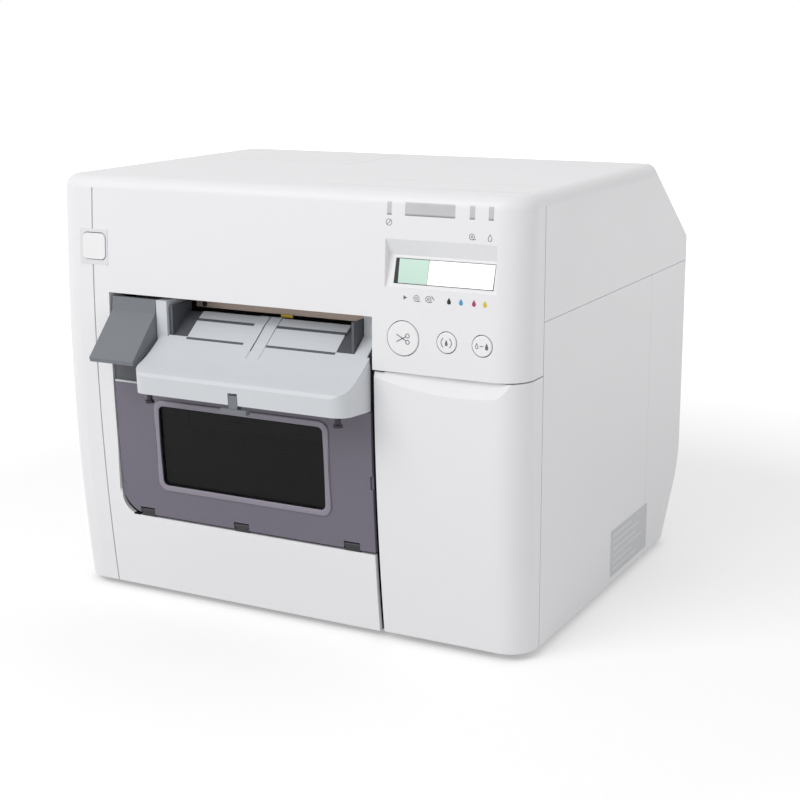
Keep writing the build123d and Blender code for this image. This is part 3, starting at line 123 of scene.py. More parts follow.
def layFloor(look):
    half = look["floorSize"] / 2
    mesh = bpy.data.meshes.new("floor")
    corners = [(-half, -half, 0), (half, -half, 0), (half, half, 0), (-half, half, 0)]
    mesh.from_pydata(corners, [], [(0, 1, 2, 3)])
    floor = bpy.data.objects.new("floor", mesh)
    bpy.context.scene.collection.objects.link(floor)
    material = bpy.data.materials.new("floorWhite")
    material.use_nodes = True
    nodes, links = material.node_tree.nodes, material.node_tree.links
    nodes.clear()
    matt = nodes.new("ShaderNodeBsdfDiffuse")
    matt.inputs["Color"].default_value = (look["floorAlbedo"],) * 3 + (1,)
    glow = nodes.new("ShaderNodeEmission")
    away = nodes.new("ShaderNodeVectorMath")
    away.operation = "LENGTH"
    links.new(nodes.new("ShaderNodeTexCoord").outputs["Object"], away.inputs[0])
    rise = nodes.new("ShaderNodeMapRange")
    rise.inputs["From Min"].default_value, rise.inputs["From Max"].default_value = look["horizonReach"]
    rise.inputs["To Min"].default_value = look["floorGlow"]
    rise.inputs["To Max"].default_value = look["horizonGlow"]
    links.new(away.outputs["Value"], rise.inputs["Value"])
    strength = nodes.new("ShaderNodeMath")
    strength.operation = "MULTIPLY"
    links.new(rise.outputs[0], strength.inputs[1])
    links.new(seenByEye(nodes, links), strength.inputs[0])
    links.new(strength.outputs[0], glow.inputs["Strength"])
    both = nodes.new("ShaderNodeAddShader")
    links.new(matt.outputs[0], both.inputs[0])
    links.new(glow.outputs[0], both.inputs[1])
    links.new(both.outputs[0], nodes.new("ShaderNodeOutputMaterial").inputs["Surface"])
    mesh.materials.append(material)


lightRoom(studio)
layFloor(studio)
bpy.context.scene.view_settings.view_transform = "Standard"
print("camera and light placed")

# Finishes: each is a base colour that drifts a little over the piece, a grain and a gloss

usual = {  # what a finish has where its own line says nothing else
    "drift": 0.03,  # change of the shade either way
    "driftScale": 12,
    "smear": 0.05,  # change of the roughness either way
    "smearScale": 70,
    "bump": 0.12,
    "depth": 0.05 * mm,
    "grainScale": 2600,
    "metal": 0,
    "ior": 1.46,
    "coat": 0,
    "clear": 0,
}
waveScale = 0.314  # a wave texture's scale times the distance of its ribs in metres


def linear(shade):  # sRGB numbers from 0 to 255 as the linear colour that a shader takes
    share = np.array(shade) / 255
    return tuple(np.where(share < 0.04045, share / 12.92, ((share + 0.055) / 1.055) ** 2.4))


# Colour = shade times a slow noise, roughness = gloss plus a middling noise, bump = a fine noise
def surface(name, look):
    look = usual | look
    material = bpy.data.materials.new(name)
    material.use_nodes = True
    nodes, links = material.node_tree.nodes, material.node_tree.links
    shader = nodes["Principled BSDF"]
    where = nodes.new("ShaderNodeTexCoord").outputs["Object"]
    if "stretch" in look:
        turned = nodes.new("ShaderNodeMapping")
        turned.inputs["Scale"].default_value = look["stretch"]
        links.new(where, turned.inputs["Vector"])
        where = turned.outputs[0]
    shade = np.array(linear(look["shade"]))
    mix = nodes.new("ShaderNodeMix")
    mix.data_type = "RGBA"
    mix.inputs["A"].default_value = (*np.clip(shade * (1 - look["drift"]), 0, 1), 1)
    mix.inputs["B"].default_value = (*np.clip(shade * (1 + look["drift"]), 0, 1), 1)
    links.new(noise(nodes, links, where, look["driftScale"], detail=3), mix.inputs["Factor"])
    colour = mix.outputs["Result"]
    if "shadeBelow" in look:
        colour = shadeBelow(nodes, links, where, colour, look["shadeBelow"])
    if "inside" in look:
        colour = darkBox(nodes, links, where, colour, look["inside"])
    links.new(colour, shader.inputs["Base Color"])
    gloss = nodes.new("ShaderNodeMapRange")
    gloss.inputs["To Min"].default_value = max(look["rough"] - look["smear"], 0)
    gloss.inputs["To Max"].default_value = look["rough"] + look["smear"]
    links.new(noise(nodes, links, where, look["smearScale"], detail=2), gloss.inputs["Value"])
    links.new(gloss.outputs[0], shader.inputs["Roughness"])
    bump = nodes.new("ShaderNodeBump")
    bump.inputs["Strength"].default_value = look["bump"]
    bump.inputs["Distance"].default_value = look["depth"]
    if "ribPitch" in look:
        ribs = nodes.new("ShaderNodeTexWave")
        ribs.inputs["Scale"].default_value = waveScale / (look["ribPitch"] * mm)
        links.new(where, ribs.inputs["Vector"])
        height = ribs.outputs["Fac"]
    else:
        height = noise(nodes, links, where, look["grainScale"], detail=2)
    links.new(height, bump.inputs["Height"])
    links.new(bump.outputs[0], shader.inputs["Normal"])
    shader.inputs["Metallic"].default_value = look["metal"]
    shader.inputs["IOR"].default_value = look["ior"]
    shader.inputs["Coat Weight"].default_value = look["coat"]
    shader.inputs["Transmission Weight"].default_value = look["clear"]
    if "glow" in look:
        shader.inputs["Emission Color"].default_value = (*shade, 1)
        shader.inputs["Emission Strength"].default_value = look["glow"]
    return material


# Painted shade below a height: the shade times a number that rises from low to 1 between two heights
def shadeBelow(nodes, links, where, colour, look):
    split = nodes.new("ShaderNodeSeparateXYZ")
    links.new(where, split.inputs[0])
    rise = nodes.new("ShaderNodeMapRange")
    rise.inputs["From Min"].default_value = look["from"] * mm
    rise.inputs["From Max"].default_value = look["to"] * mm
    rise.inputs["To Min"].default_value = look["low"]
    links.new(split.outputs[look["axis"]], rise.inputs["Value"])
    mix = nodes.new("ShaderNodeMix")
    mix.data_type = "RGBA"
    mix.blend_type = "MULTIPLY"
    mix.inputs["Factor"].default_value = 1
    links.new(colour, mix.inputs["A"])
    links.new(rise.outputs[0], mix.inputs["B"])
    return mix.outputs["Result"]


# Another shade inside a box, used for painted shade: 1 where the largest of |x - middle| / half over the
# axes is under 1
def darkBox(nodes, links, where, colour, look):
    low, high = (np.array(look[end]) * mm for end in ("low", "high"))
    shifted = nodes.new("ShaderNodeMapping")
    shifted.vector_type = "TEXTURE"
    shifted.inputs["Location"].default_value = (low + high) / 2
    shifted.inputs["Scale"].default_value = (high - low) / 2
    links.new(where, shifted.inputs["Vector"])
    size = nodes.new("ShaderNodeVectorMath")
    size.operation = "ABSOLUTE"
    links.new(shifted.outputs[0], size.inputs[0])
    split = nodes.new("ShaderNodeSeparateXYZ")
    links.new(size.outputs[0], split.inputs[0])
    widest = split.outputs["X"]
    for axis in ("Y", "Z"):
        larger = nodes.new("ShaderNodeMath")
        larger.operation = "MAXIMUM"
        links.new(widest, larger.inputs[0])
        links.new(split.outputs[axis], larger.inputs[1])
        widest = larger.outputs[0]
    within = nodes.new("ShaderNodeMath")
    within.operation = "LESS_THAN"
    links.new(widest, within.inputs[0])
    within.inputs[1].default_value = 1
    mix = nodes.new("ShaderNodeMix")
    mix.data_type = "RGBA"
    links.new(within.outputs[0], mix.inputs["Factor"])
    links.new(colour, mix.inputs["A"])
    mix.inputs["B"].default_value = (*linear(look["shade"]), 1)
    return mix.outputs["Result"]


def noise(nodes, links, where, scale, detail):
    grain = nodes.new("ShaderNodeTexNoise")
    grain.inputs["Scale"].default_value = scale
    grain.inputs["Detail"].default_value = detail
    links.new(where, grain.inputs["Vector"])
    return grain.outputs["Fac"]


looks = {
    "casingPlastic": {"shade": (240, 240, 242), "rough": 0.42, "drift": 0.012},
    "frontPlastic": {  # as the casing, with painted shade on the hinge lugs in the panel's notches
        "shade": (240, 240, 242),
        "rough": 0.42,
        "drift": 0.012,
        # painted shade: a dark box over the hinge lugs, where the notches are in shade
        "inside": {"low": (-108, -130, 52.3), "high": (60, -110, 60.5), "shade": (46, 46, 50)},
    },
    "trayPlastic": {"shade": (212, 215, 219), "rough": 0.4},
    "coverPlastic": {"shade": (112, 107, 120), "rough": 0.38, "drift": 0.05, "driftScale": 8},
    "leverPlastic": {"shade": (118, 122, 128), "rough": 0.45, "bump": 0.25},
    "darkPlastic": {"shade": (84, 86, 92), "rough": 0.42, "bump": 0.2},
    "buttonPlastic": {"shade": (243, 243, 244), "rough": 0.35},
    "bezelPlastic": {"shade": (229, 229, 232), "rough": 0.4},
    "lightLens": {
        "shade": (202, 202, 205),
        "rough": 0.2,
        "drift": 0.1,
        "driftScale": 60,
        "bump": 0.35,
        "depth": 0.1 * mm,
        "ribPitch": 0.9,
        # painted shade: the windows darker along their lower edge, where they sit recessed
        "shadeBelow": {"axis": "Z", "from": 248.3, "to": 249.6, "low": 0.3},
    },
    "smokedPane": {"shade": (96, 95, 100), "rough": 0.05, "clear": 0.97, "bump": 0, "ior": 1.24},
    "rimPlastic": {"shade": (140, 134, 147), "rough": 0.16, "drift": 0.05, "driftScale": 14, "coat": 0.3},
    "printDark": {"shade": (104, 105, 111), "rough": 0.5, "drift": 0.1, "driftScale": 400},
    "printBlack": {"shade": (22, 22, 24), "rough": 0.5, "drift": 0.1, "driftScale": 400},
    "printCyan": {"shade": (75, 155, 200), "rough": 0.5, "drift": 0.06, "driftScale": 400},
    "printMagenta": {"shade": (170, 60, 110), "rough": 0.5, "drift": 0.06, "driftScale": 400},
    "printYellow": {"shade": (215, 195, 50), "rough": 0.5, "drift": 0.06, "driftScale": 400},
    "displayGreen": {"shade": (196, 226, 211), "rough": 0.12, "drift": 0.03, "driftScale": 40},
    "displayWhite": {"shade": (250, 251, 251), "rough": 0.12, "drift": 0.01, "driftScale": 40, "glow": 0.3},
    "displayBlack": {"shade": (12, 12, 13), "rough": 0.45, "drift": 0.05},
    "stickerFoil": {"shade": (232, 232, 234), "rough": 0.3, "drift": 0.015, "driftScale": 30},
    "labelPaper": {"shade": (206, 207, 209), "rough": 0.45, "drift": 0.03, "driftScale": 50},
    "screwBlack": {"shade": (34, 34, 36), "rough": 0.3, "metal": 0.8, "drift": 0.1},
    "tabYellow": {"shade": (222, 190, 60), "rough": 0.4},
    "displayCase": {"shade": (52, 54, 56), "rough": 0.3},
    "boardLacquer": {"shade": (28, 92, 58), "rough": 0.3, "drift": 0.25, "driftScale": 160, "bump": 0.4},
    "frameSteel": {"shade": (176, 178, 182), "rough": 0.36, "metal": 1, "drift": 0.1, "driftScale": 90},
    "shaftSteel": {  # its grain runs along X
        "shade": (206, 207, 210),
        "rough": 0.16,
        "metal": 1,
        "stretch": (0.02, 1, 1),
        "bump": 0.08,
    },
    "cutterSteel": {"shade": (150, 136, 126), "rough": 0.42, "metal": 0.55, "drift": 0.12, "driftScale": 30},
    "hookSteel": {"shade": (52, 52, 58), "rough": 0.22, "metal": 0.6},
    # painted shade for the dark strips by the slats and rails
    "paintedShadeDark": {"shade": (92, 95, 102), "rough": 0.5},
    # painted shade for the dark of a seam's gap
    "seamShadeBlack": {"shade": (24, 24, 26), "rough": 0.5},
    "footRubber": {"shade": (48, 48, 50), "rough": 0.82, "bump": 0.5, "depth": 0.2 * mm, "grainScale": 900},
    "beltRubber": {"shade": (36, 36, 38), "rough": 0.7, "bump": 0.4, "grainScale": 1200},
    "holderPlastic": {"shade": (150, 152, 158), "rough": 0.4},
    "pulleyPlastic": {"shade": (224, 222, 214), "rough": 0.38},
    "motorCase": {"shade": (46, 47, 50), "rough": 0.34, "metal": 0.7, "drift": 0.1},
    "headPlastic": {"shade": (40, 41, 44), "rough": 0.36},
    "socketPlastic": {"shade": (30, 30, 32), "rough": 0.45},
    "supplyCase": {"shade": (168, 170, 174), "rough": 0.4, "metal": 0.9, "drift": 0.08, "driftScale": 60},
    "inkBlack": {"shade": (38, 38, 42), "rough": 0.3},
    "inkCyan": {"shade": (40, 150, 205), "rough": 0.3},
    "inkMagenta": {"shade": (196, 50, 120), "rough": 0.3},
    "inkYellow": {"shade": (236, 208, 50), "rough": 0.3},
}
paint = {name: surface(name, look) for name, look in looks.items()}

# What each node of the frame is made of

nodeFinish = {
    "casingPlastic": "ink_cover left_side_cover rear_case right_side_cover upper_case",
    "frontPlastic": "front_case",
    "trayPlastic": "eject_table exit_slats center_rails",
    "coverPlastic": "roll_cover_panel",
    "leverPlastic": "cover_lever table_lock_clip",
    "darkPlastic": "roll_cover_frame base_tray exit_guides ink_bay pinch_frame platen rear_paper_guide",
    "buttonPlastic": "power_button cut_button feed_button cleaning_button",
    "bezelPlastic": "power_bezel",
    "lightLens": "led_windows",
    "smokedPane": "window_pane",
    "displayCase": "lcd_module",
    "boardLacquer": "control_boards main_board",
    "frameSteel": "chassis casing_screws",
    "shaftSteel": "carriage_shaft cover_hinge_pins lever_pin cutter_blade",
    "cutterSteel": "cutter_frame",
    "hookSteel": "tray_hooks",
    "footRubber": "rubber_feet feed_roller pinch_rollers",
    "beltRubber": "carriage_belt feed_belt",
    "holderPlastic": "roll_spindle movable_flange maintenance_box",
    "pulleyPlastic": "feed_pulley motor_pulley drive_pulley idler_pulley",
    "motorCase": "feed_motor carriage_motor",
    "headPlastic": "print_carriage print_head",
    "socketPlastic": "ac_inlet data_ports",
    "supplyCase": "power_supply",
    "inkBlack": "cartridge_black",
    "inkCyan": "cartridge_cyan",
    "inkMagenta": "cartridge_magenta",
    "inkYellow": "cartridge_yellow",
}


def dress(node, material):
    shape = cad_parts[node]
    if not shape.material_slots:
        shape.data.materials.append(material)
    for place in shape.material_slots:
        place.material = material


for finish, members in nodeFinish.items():
    for member in members.split():
        dress(member, paint[finish])
print("finishes on", sum(len(m.split()) for m in nodeFinish.values()), "nodes")

# Surfaces: a piece is one or more grids of points, and neighbouring points make its faces.
# A grid's rows run along a path and its columns go round the profile, which is always closed.

weld = 0.001 * mm  # points closer together than this become one


# Each face joins point r * columns + c to its neighbours along the path and round the profile
def faceRows(rows, columns, loop, start):
    along = np.arange(rows if loop else rows - 1)[:, None]
    across = np.arange(columns)[None, :]
    follow, beside = (along + 1) % rows, (across + 1) % columns
    corners = [along * columns + across, along * columns + beside]
    corners += [follow * columns + beside, follow * columns + across]
    quads = np.stack(np.broadcast_arrays(*corners), axis=-1).reshape(-1, 4) + start
    return quads.tolist()


def makePiece(name, grids, lay, finish, body, smooth=False):
    points, faces, start = [], [], 0
    for grid, loop in grids:
        rows, columns = grid.shape[:2]
        points.append(lay(grid[..., 0], grid[..., 1], grid[..., 2]).reshape(-1, 3) * mm)
        faces += faceRows(rows, columns, loop, start)
        if not loop:
            faces.append(list(range(start, start + columns)))
            faces.append(list(range(start + (rows - 1) * columns, start + rows * columns)))
        start += rows * columns
    mesh = bpy.data.meshes.new(name)
    mesh.from_pydata(np.concatenate(points).tolist(), [], faces)
    shape = bmesh.new()
    shape.from_mesh(mesh)
    bmesh.ops.remove_doubles(shape, verts=shape.verts, dist=weld)
    bmesh.ops.dissolve_degenerate(shape, edges=shape.edges, dist=weld)
    bmesh.ops.recalc_face_normals(shape, faces=shape.faces)
    shape.to_mesh(mesh)
    shape.free()
    mesh.polygons.foreach_set("use_smooth", np.full(len(mesh.polygons), smooth))
    mesh.materials.append(paint[finish])
    piece = bpy.data.objects.new(name, mesh)
    bpy.context.scene.collection.objects.link(piece)
    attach(piece, body)


# Where pieces lie: each takes a piece's two coordinates and its lift, all in millimetres

casing = {"frontY": -126.5, "bowRadius": 1250, "bowHeight": 160, "sideX": 155, "topZ": 261}


def frontAt(z):  # y = front + R - sqrt(R^2 - (z - bow)^2)
    radius = casing["bowRadius"]
    return casing["frontY"] + radius - np.sqrt(radius**2 - (z - casing["bowHeight"]) ** 2)


def onFront(u, v, lift):
    return np.stack([u, frontAt(v) - lift, v], axis=-1)


def onSide(u, v, lift):
    return np.stack([casing["sideX"] + lift, u, v], axis=-1)


def onTop(u, v, lift):
    return np.stack([u, v, casing["topZ"] + lift], axis=-1)


def asDrawn(u, v, lift):
    return np.stack([u, v, lift], axis=-1)


# Shapes, all in millimetres: each gives a grid, or an outline for one

printing = {"height": 0.1, "root": 0.1}  # above and below the surface that carries the print


# An arc or circle: across = radius * cos t, up = radius * sin t
def circle(u, v, radius, start=0, turn=360, count=32):
    angle = np.radians(np.linspace(start, start + turn, count, endpoint=turn < 360))
    return np.stack([u + radius * np.cos(angle), v + radius * np.sin(angle)], axis=-1)


# A drop: across = half width * sin t * sin(t/2)^1.3, up = half height * cos t
def drop(u, v, wide, tall, count=32):
    t = np.linspace(0, 2 * np.pi, count, endpoint=False)
    across = wide / 2 * np.sin(t) * np.sin(t / 2) ** 1.3
    return np.stack([u + across, v + tall / 2 * np.cos(t)], axis=-1)


# A rectangle with rounded corners: four quarter circles joined by straight runs
def rounded(uLow, uHigh, vLow, vHigh, radius, count=8):
    angle = np.radians(np.linspace(0, 90, count))
    left, right, low, high = uLow + radius, uHigh - radius, vLow + radius, vHigh - radius
    turns = []
    for quarter, (u, v) in enumerate([(right, high), (left, high), (left, low), (right, low)]):
        a = angle + quarter * np.pi / 2
        turns.append(np.stack([u + radius * np.cos(a), v + radius * np.sin(a)], axis=-1))
    return np.concatenate(turns)


# A line: each point of its path, moved half the width to either side, above and below the surface
def stroke(path, width, loop=False):
    path = np.array(path, dtype=float)
    if loop:
        along = np.roll(path, -1, 0) - np.roll(path, 1, 0)
    else:
        along = np.gradient(path, axis=0)
    along /= np.linalg.norm(along, axis=1)[:, None]
    side = np.stack([-along[:, 1], along[:, 0]], axis=1) * width / 2
    grid = np.empty((len(path), 4, 3))
    grid[:, (0, 3), :2] = (path + side)[:, None]
    grid[:, (1, 2), :2] = (path - side)[:, None]
    grid[:, :2, 2] = printing["height"]
    grid[:, 2:, 2] = -printing["root"]
    return grid, loop


# A filled shape: its outline above and below the surface, drawn in to its middle at both
def patch(outline, height=printing["height"]):
    outline = np.array(outline, dtype=float)
    grid = np.empty((4, len(outline), 3))
    grid[(0, 3), :, :2] = outline.mean(0)
    grid[(1, 2), :, :2] = outline
    grid[:2, :, 2] = height
    grid[2:, :, 2] = -printing["root"]
    return grid, False


# A bar: one section in Y and Z at both ends of a span along X
def carry(span, section):
    section = np.array(section)
    grid = np.empty((2, len(section), 3))
    grid[..., 0] = np.array(span)[:, None]
    grid[..., 1:] = section
    return grid, False


print("tools ready")

# Symbols of the lights and inks on the operation panel, at places (across, height)

panelMarks = {
    "line": 0.26,
    "ring": (74.7, 244.4),
    "ringRadius": 1.7,
    "ringBar": 1.1,  # half of the bar across it, along both axes
    "roll": (124.2, 239.3),
    "rollSize": 1.5,
    "drop": (134.6, 239.3),
    "dropSize": (2.8, 3.6),
    "row": 204.4,  # height of the marks below the display
    "arrow": (84.4, 86.6, 1.1),  # its back, its tip and half its height
    "rowRolls": (92.2, 99.4),
    "rowRollSize": 1.6,
    "slash": ((101.2, 1.9), (102.9, -0.2)),  # heights from the row's
    "slashLine": 1.6,  # times the line
    "inks": {"Black": 111.7, "Cyan": 118.8, "Magenta": 126.4, "Yellow": 132.8},
    "inkSize": (3.1, 3.6),
}
rollMark = {"core": 0.35, "tail": ((-0.1, -1), (0.9, -1), (1.5, -0.75))}  # in shares of its radius


# A roll seen from its end: two rings and the loose end of its paper
def rollSymbol(u, v, size, line):
    rings = [stroke(circle(u, v, share * size), line, True) for share in (1, rollMark["core"])]
    tail = [(u + across * size, v + up * size) for across, up in rollMark["tail"]]
    return [*rings, stroke(tail, line)]


def drawPanel(look):
    line, row = look["line"], look["row"]
    (u, v), bar = look["ring"], look["ringBar"]
    marks = [stroke(circle(u, v, look["ringRadius"]), line, True)]
    marks.append(stroke([(u - bar, v - bar), (u + bar, v + bar)], line))
    marks += rollSymbol(*look["roll"], look["rollSize"], line)
    marks.append(stroke(drop(*look["drop"], *look["dropSize"]), line, True))
    back, tip, half = look["arrow"]
    marks.append(patch([(back, row - half), (tip, row), (back, row + half)]))
    for place in look["rowRolls"]:
        marks += rollSymbol(place, row, look["rowRollSize"], line)
    slash = [(place, row + up) for place, up in look["slash"]]
    marks.append(stroke(slash, line * look["slashLine"]))
    makePiece("panelSymbols", marks, onFront, "printDark", "root")
    for ink, place in look["inks"].items():
        mark = patch(drop(place, row, *look["inkSize"]))
        makePiece("mark" + ink, [mark], onFront, "print" + ink, "root")


drawPanel(panelMarks)

# Symbols on the round buttons, whose faces are flat

keys = {"height": 181.8, "proud": 0.6, "line": 0.38}
cutMark = {
    "place": 84.2,
    "blades": [[(-3.6, 2.2), (0.4, -0.1), (2.2, -1.1)], [(-3.6, -1.9), (0.4, 0.3), (2.2, 1.3)]],
    "bladeLine": 1.3,  # times the line
    "eye": (3.1, 1.75),  # across, and up or down
    "eyeRadius": 1.1,
}
feedMark = {"place": 110.7, "drop": (2.2, 3.4), "arc": 3.1, "starts": (125, -55), "turn": 110}
cleaningMark = {
    "place": 131.6,
    "apart": 2.9,  # from the middle to either drop
    "hollow": (1.9, 2.9),
    "hollowLine": 0.8,  # times the line
    "full": (2.5, 3.8),
    "dash": (-1.1, 0.9),
}


def onKey(u, v, lift):
    face = frontAt(keys["height"]) - keys["proud"]
    return np.stack([u, face - lift, v], axis=-1)


def drawCut(look):
    u, v, line = look["place"], keys["height"], keys["line"]
    scissors = []
    for blade in look["blades"]:
        path = [(u + across, v + up) for across, up in blade]
        scissors.append(stroke(path, line * look["bladeLine"]))
    across, up = look["eye"]
    for side in (-1, 1):
        scissors.append(stroke(circle(u + across, v + side * up, look["eyeRadius"]), line, True))
    makePiece("cutSymbol", scissors, onKey, "printDark", "cut_key")


def drawFeed(look):
    u, v, line = look["place"], keys["height"], keys["line"]
    arcs = [patch(drop(u, v, *look["drop"]))]
    for start in look["starts"]:
        arcs.append(stroke(circle(u, v, look["arc"], start, look["turn"]), line))
    makePiece("feedSymbol", arcs, onKey, "printDark", "feed_key")


def drawCleaning(look):
    u, v, line = look["place"], keys["height"], keys["line"]
    hollow = drop(u - look["apart"], v, *look["hollow"])
    drops = [stroke(hollow, line * look["hollowLine"], True)]
    drops.append(patch(drop(u + look["apart"], v, *look["full"])))
    drops.append(stroke([(u + end, v) for end in look["dash"]], line))
    makePiece("cleaningSymbol", drops, onKey, "printDark", "cleaning_key")


drawCut(cutMark)
drawFeed(feedMark)
drawCleaning(cleaningMark)
print("panel symbols drawn")

# Display: a black edge with a pale green and a white field behind the glass

display = {
    "middle": (107.05, 218.2),
    "faceZ": 223.25,  # height at which the casing's curve is taken
    "back": 2.8,  # how far the glass lies behind the curve there
    "tilt": 17,
    "half": (29.5, 6.75),
    "corner": 0.8,
    "edgeLift": 0.12,
    "margin": 0.1,
    "fieldLift": 0.22,
    "field": (1.9, 2.6, 20),  # left end above, left end below and right end, from the left edge
    "page": 20.2,  # its left end, from the left edge too
    "pageCorner": 0.5,
}


# u along X and v up the glass, which leans back by the tilt
def onGlass(u, v, lift):
    tilt = math.radians(display["tilt"])
    x, z = display["middle"]
    y = frontAt(display["faceZ"]) + display["back"]
    behind = y + v * math.sin(tilt) - lift * math.cos(tilt)
    height = z + v * math.cos(tilt) + lift * math.sin(tilt)
    return np.stack([x + u, behind, height], axis=-1)


def drawDisplay(look):
    wide, tall = look["half"]
    edge = patch(rounded(-wide, wide, -tall, tall, look["corner"]), look["edgeLift"])
    makePiece("displayEdge", [edge], onGlass, "displayBlack", "root")
    low, high = look["margin"] - tall, tall - look["margin"]
    above, below, right = (end - wide for end in look["field"])
    field = patch([(above, high), (below, low), (right, low), (right, high)], look["fieldLift"])
    makePiece("displayField", [field], onGlass, "displayGreen", "root")
    left, right = look["page"] - wide, wide - look["margin"]
    page = patch(rounded(left, right, low, high, look["pageCorner"]), look["fieldLift"])
    makePiece("displayPage", [page], onGlass, "displayWhite", "root")


drawDisplay(display)

# Rim of the window: a low glossy bead carried round a rounded rectangle

rim = {
    "u": (-85.7, 35.7),
    "v": (71.8, 129.2),
    "corner": 6.2,
    "tighter": 0.8,  # what the corner loses for each millimetre inwards
    "wide": 3.6,
    "lift": 1.05,
    "across": (0, 0, 0.12, 0.5, 0.85, 1, 1),  # the section, in shares of the width and the lift
    "height": (-0.1, 0.75, 0.95, 1, 0.95, 0.75, -0.1),
    "cornerPoints": 10,
}


def makeRim(look):
    (left, right), (low, high) = look["u"], look["v"]
    loops = []
    for inset in np.array(look["across"]) * look["wide"]:
        sides = (left + inset, right - inset, low + inset, high - inset)
        corner = look["corner"] - inset * look["tighter"]
        loops.append(rounded(*sides, corner, look["cornerPoints"]))
    grid = np.empty((len(loops[0]), len(loops), 3))
    grid[..., :2] = np.stack(loops, axis=1)
    grid[..., 2] = np.array(look["height"]) * look["lift"]
    makePiece("windowRim", [(grid, True)], onFront, "rimPlastic", "roll_cover", True)


makeRim(rim)
print("display and window rim made")

# Metal strip over the label's way out, with its tab and screw

strip = {"x": (-68, 58), "front": -103, "back": -87.8, "low": 183.6, "high": 190, "sheet": 0.8}
tab = {"x": (-8, 0), "z": (182, 183.8), "ahead": 0.7, "behind": 0.1}  # both from the strip's front
screw = {
    "place": (-62, -103, 185.6),
    "radius": 1.7,
    "across": (0, 0.3, 0.75, 1, 1),  # section of its head, in shares of the radius
    "rise": (1, 0.95, 0.7, 0.25, -0.2),  # in shares of its height
    "height": 0.5,  # in shares of the radius
    "sides": 24,
}


def makeStrip(look):
    front, back, low, high, sheet = (look[k] for k in ("front", "back", "low", "high", "sheet"))
    section = [(back, high), (front, high), (front, low)]
    section += [(front + sheet, low), (front + sheet, high - sheet), (back, high - sheet)]
    makePiece("exitStrip", [carry(look["x"], section)], asDrawn, "cutterSteel", "root")


def makeTab(look):
    near, far = strip["front"] - look["ahead"], strip["front"] + look["behind"]
    bottom, top = look["z"]
    section = [(near, bottom), (near, top), (far, top), (far, bottom)]
    makePiece("exitTab", [carry(look["x"], section)], asDrawn, "tabYellow", "root")


# The head's section, from its middle to its rim, turned once round an axis along Y
def makeScrew(look):
    x, y, z = look["place"]
    radius = look["radius"]
    share = np.array(look["across"])
    rise = np.array(look["rise"]) * radius * look["height"]
    angle = np.linspace(0, 2 * np.pi, look["sides"], endpoint=False)
    grid = np.empty((len(share), len(angle), 3))
    grid[..., 0] = x + radius * share[:, None] * np.cos(angle)
    grid[..., 1] = y - rise[:, None]
    grid[..., 2] = z + radius * share[:, None] * np.sin(angle)
    makePiece("exitScrew", [(grid, False)], asDrawn, "screwBlack", "root", True)


makeStrip(strip)
makeTab(tab)
makeScrew(screw)
print("strip, tab and screw made")

# Ramp that carries the tray's top up to the slats, with the rails' feet and dark strips of painted shade on
# it

tray = {"y": -125.5, "z": 165, "slope": 12 / 29.5}  # a place on its top
ramp = {
    "start": -147,
    "end": -125.1,
    "rise": 4.4,
    "root": -126.02,  # where it gets narrower
    "back": -124.9,
    "wide": (-78.9, 63.1),
    "narrow": (-73.1, 61.4),
    "sink": 0.3,  # how far each layer reaches into what lies under it
    "points": 24,
}
feet = {"y": (-134.5, -125), "height": 0.45, "x": ((-20, -13.4), (-12.4, -5))}
# dark strips of painted shade: along the slats' front edges, between the rails' feet and across the slats'
# far ends
shadeLines = {
    "slats": ((-60, -20.3), (-4.7, 41)),
    "slatsY": (-126.4, -125.1),
    "slatsLift": 0.06,
    "rails": (-13.4, -12.4),
    "railsY": (-129.5, -125),
    "railsLift": 0.2,
    "across": [(-114.45, 177.66), (-112.75, 178.76), (-112.75, 176.8), (-114.45, 175.6)],
}
bead = {
    "x": (-113.6, -78.9),
    "section": [(-126.7, 137.7), (-126.9, 138.2), (-126.7, 138.8), (-124.9, 138.8), (-124.9, 137.7)],
}
# painted shade: a black slab in the seam's end, standing in for the shade in the gap
seamShade = {
    "x": (65.6, 71.8),
    "section": [(-126.1, 161.75), (-126.1, 162.45), (-123.8, 162.45), (-123.8, 161.75)],
}


def trayZ(y):
    return tray["z"] + tray["slope"] * (y - tray["y"])


def rampZ(y):  # z = tray + rise * s^2, where s goes from 0 at the ramp's start to 1 at its end
    return trayZ(y) + ramp["rise"] * ((y - ramp["start"]) / (ramp["end"] - ramp["start"])) ** 2


# A layer on the ramp between two places along Y, from a lift above its surface down to another line
def layer(span, places, lift, under):
    y = np.linspace(*places, ramp["points"])
    upper = np.stack([y, rampZ(y) + lift], axis=-1)
    lower = np.stack([y, under(y) - ramp["sink"]], axis=-1)[::-1]
    return carry(span, np.concatenate([upper, lower]))


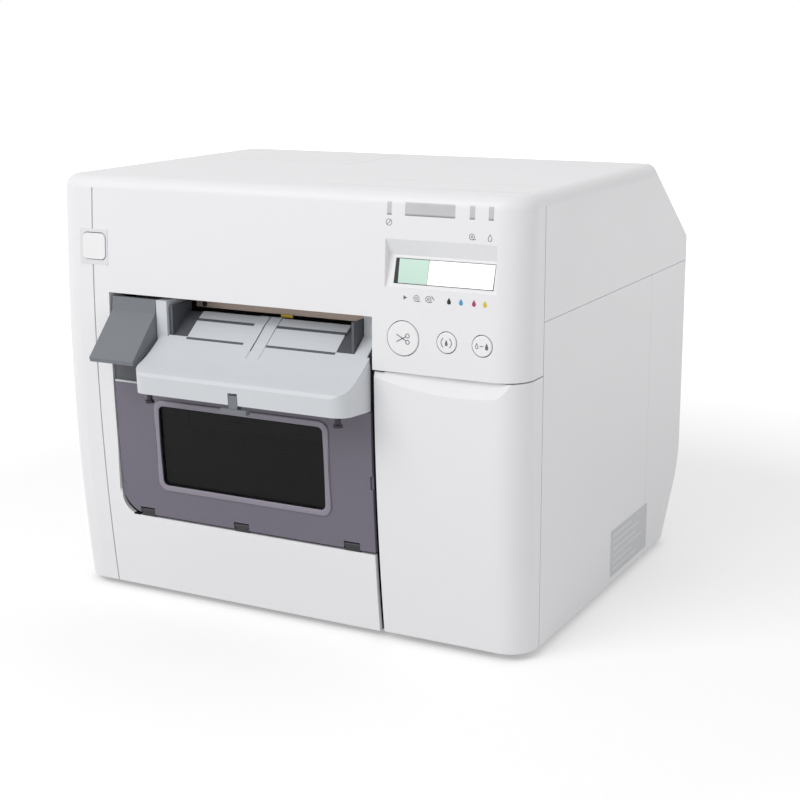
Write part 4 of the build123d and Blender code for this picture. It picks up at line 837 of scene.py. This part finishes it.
def makeRamp(look):
    body = [layer(look["wide"], (look["start"], look["root"]), 0, trayZ)]
    body.append(layer(look["narrow"], (look["root"], look["back"]), 0, trayZ))
    makePiece("tableRamp", body, asDrawn, "trayPlastic", "roll_cover")


def makeFeet(look):
    pair = [layer(span, look["y"], look["height"], rampZ) for span in look["x"]]
    makePiece("railFeet", pair, asDrawn, "trayPlastic", "roll_cover")


def makeShadeStrips(look):
    dark = [layer(span, look["slatsY"], look["slatsLift"], rampZ) for span in look["slats"]]
    dark.append(layer(look["rails"], look["railsY"], look["railsLift"], rampZ))
    dark += [carry(span, look["across"]) for span in look["slats"]]
    makePiece("exitShadeStrips", dark, asDrawn, "paintedShadeDark", "roll_cover")


def makeBar(name, look, finish, body):
    makePiece(name, [carry(look["x"], look["section"])], asDrawn, finish, body)


makeRamp(ramp)
makeFeet(feet)
makeShadeStrips(shadeLines)
makeBar("leverBead", bead, "trayPlastic", "roll_cover")
makeBar("seamShade", seamShade, "seamShadeBlack", "root")
print("ramp and its grooves made")

# Bare labels on the top and the right side, with plain ruled bars where a rating plate has its rows

plate = {"place": (17, 85, 8, 38.5), "corner": 1.5, "height": 0.12}
bars = {"margin": 4, "width": 1, "lift": 0.1, "ends": (0.55, 0.8, 0.68, 0.9, 0.6, 0.75)}
topStrip = {"place": (15, 147, -106.5, -100), "corner": 1, "height": 0.1}
topSticker = {"place": (-112, -22, 4, 78), "corner": 3, "height": 0.1}


def makeLabel(name, look, lay, finish):
    outline = rounded(*look["place"], look["corner"])
    makePiece(name, [patch(outline, look["height"])], lay, finish, "root")


def makeBars(look):
    left, right, low, high = plate["place"]
    margin, ends = look["margin"], look["ends"]
    reach = right - left - 2 * margin
    grids = []
    for v, end in zip(np.linspace(high - margin, low + margin, len(ends)), ends):
        path = [(left + margin, v), (left + margin + reach * end, v)]
        grid, loop = stroke(path, look["width"])
        grid[..., 2] += look["lift"]
        grids.append((grid, loop))
    makePiece("ratingBars", grids, onSide, "bezelPlastic", "root")


makeLabel("ratingPlate", plate, onSide, "labelPaper")
makeBars(bars)
makeLabel("topStrip", topStrip, onTop, "stickerFoil")
makeLabel("topSticker", topSticker, onTop, "stickerFoil")
print("labels made")
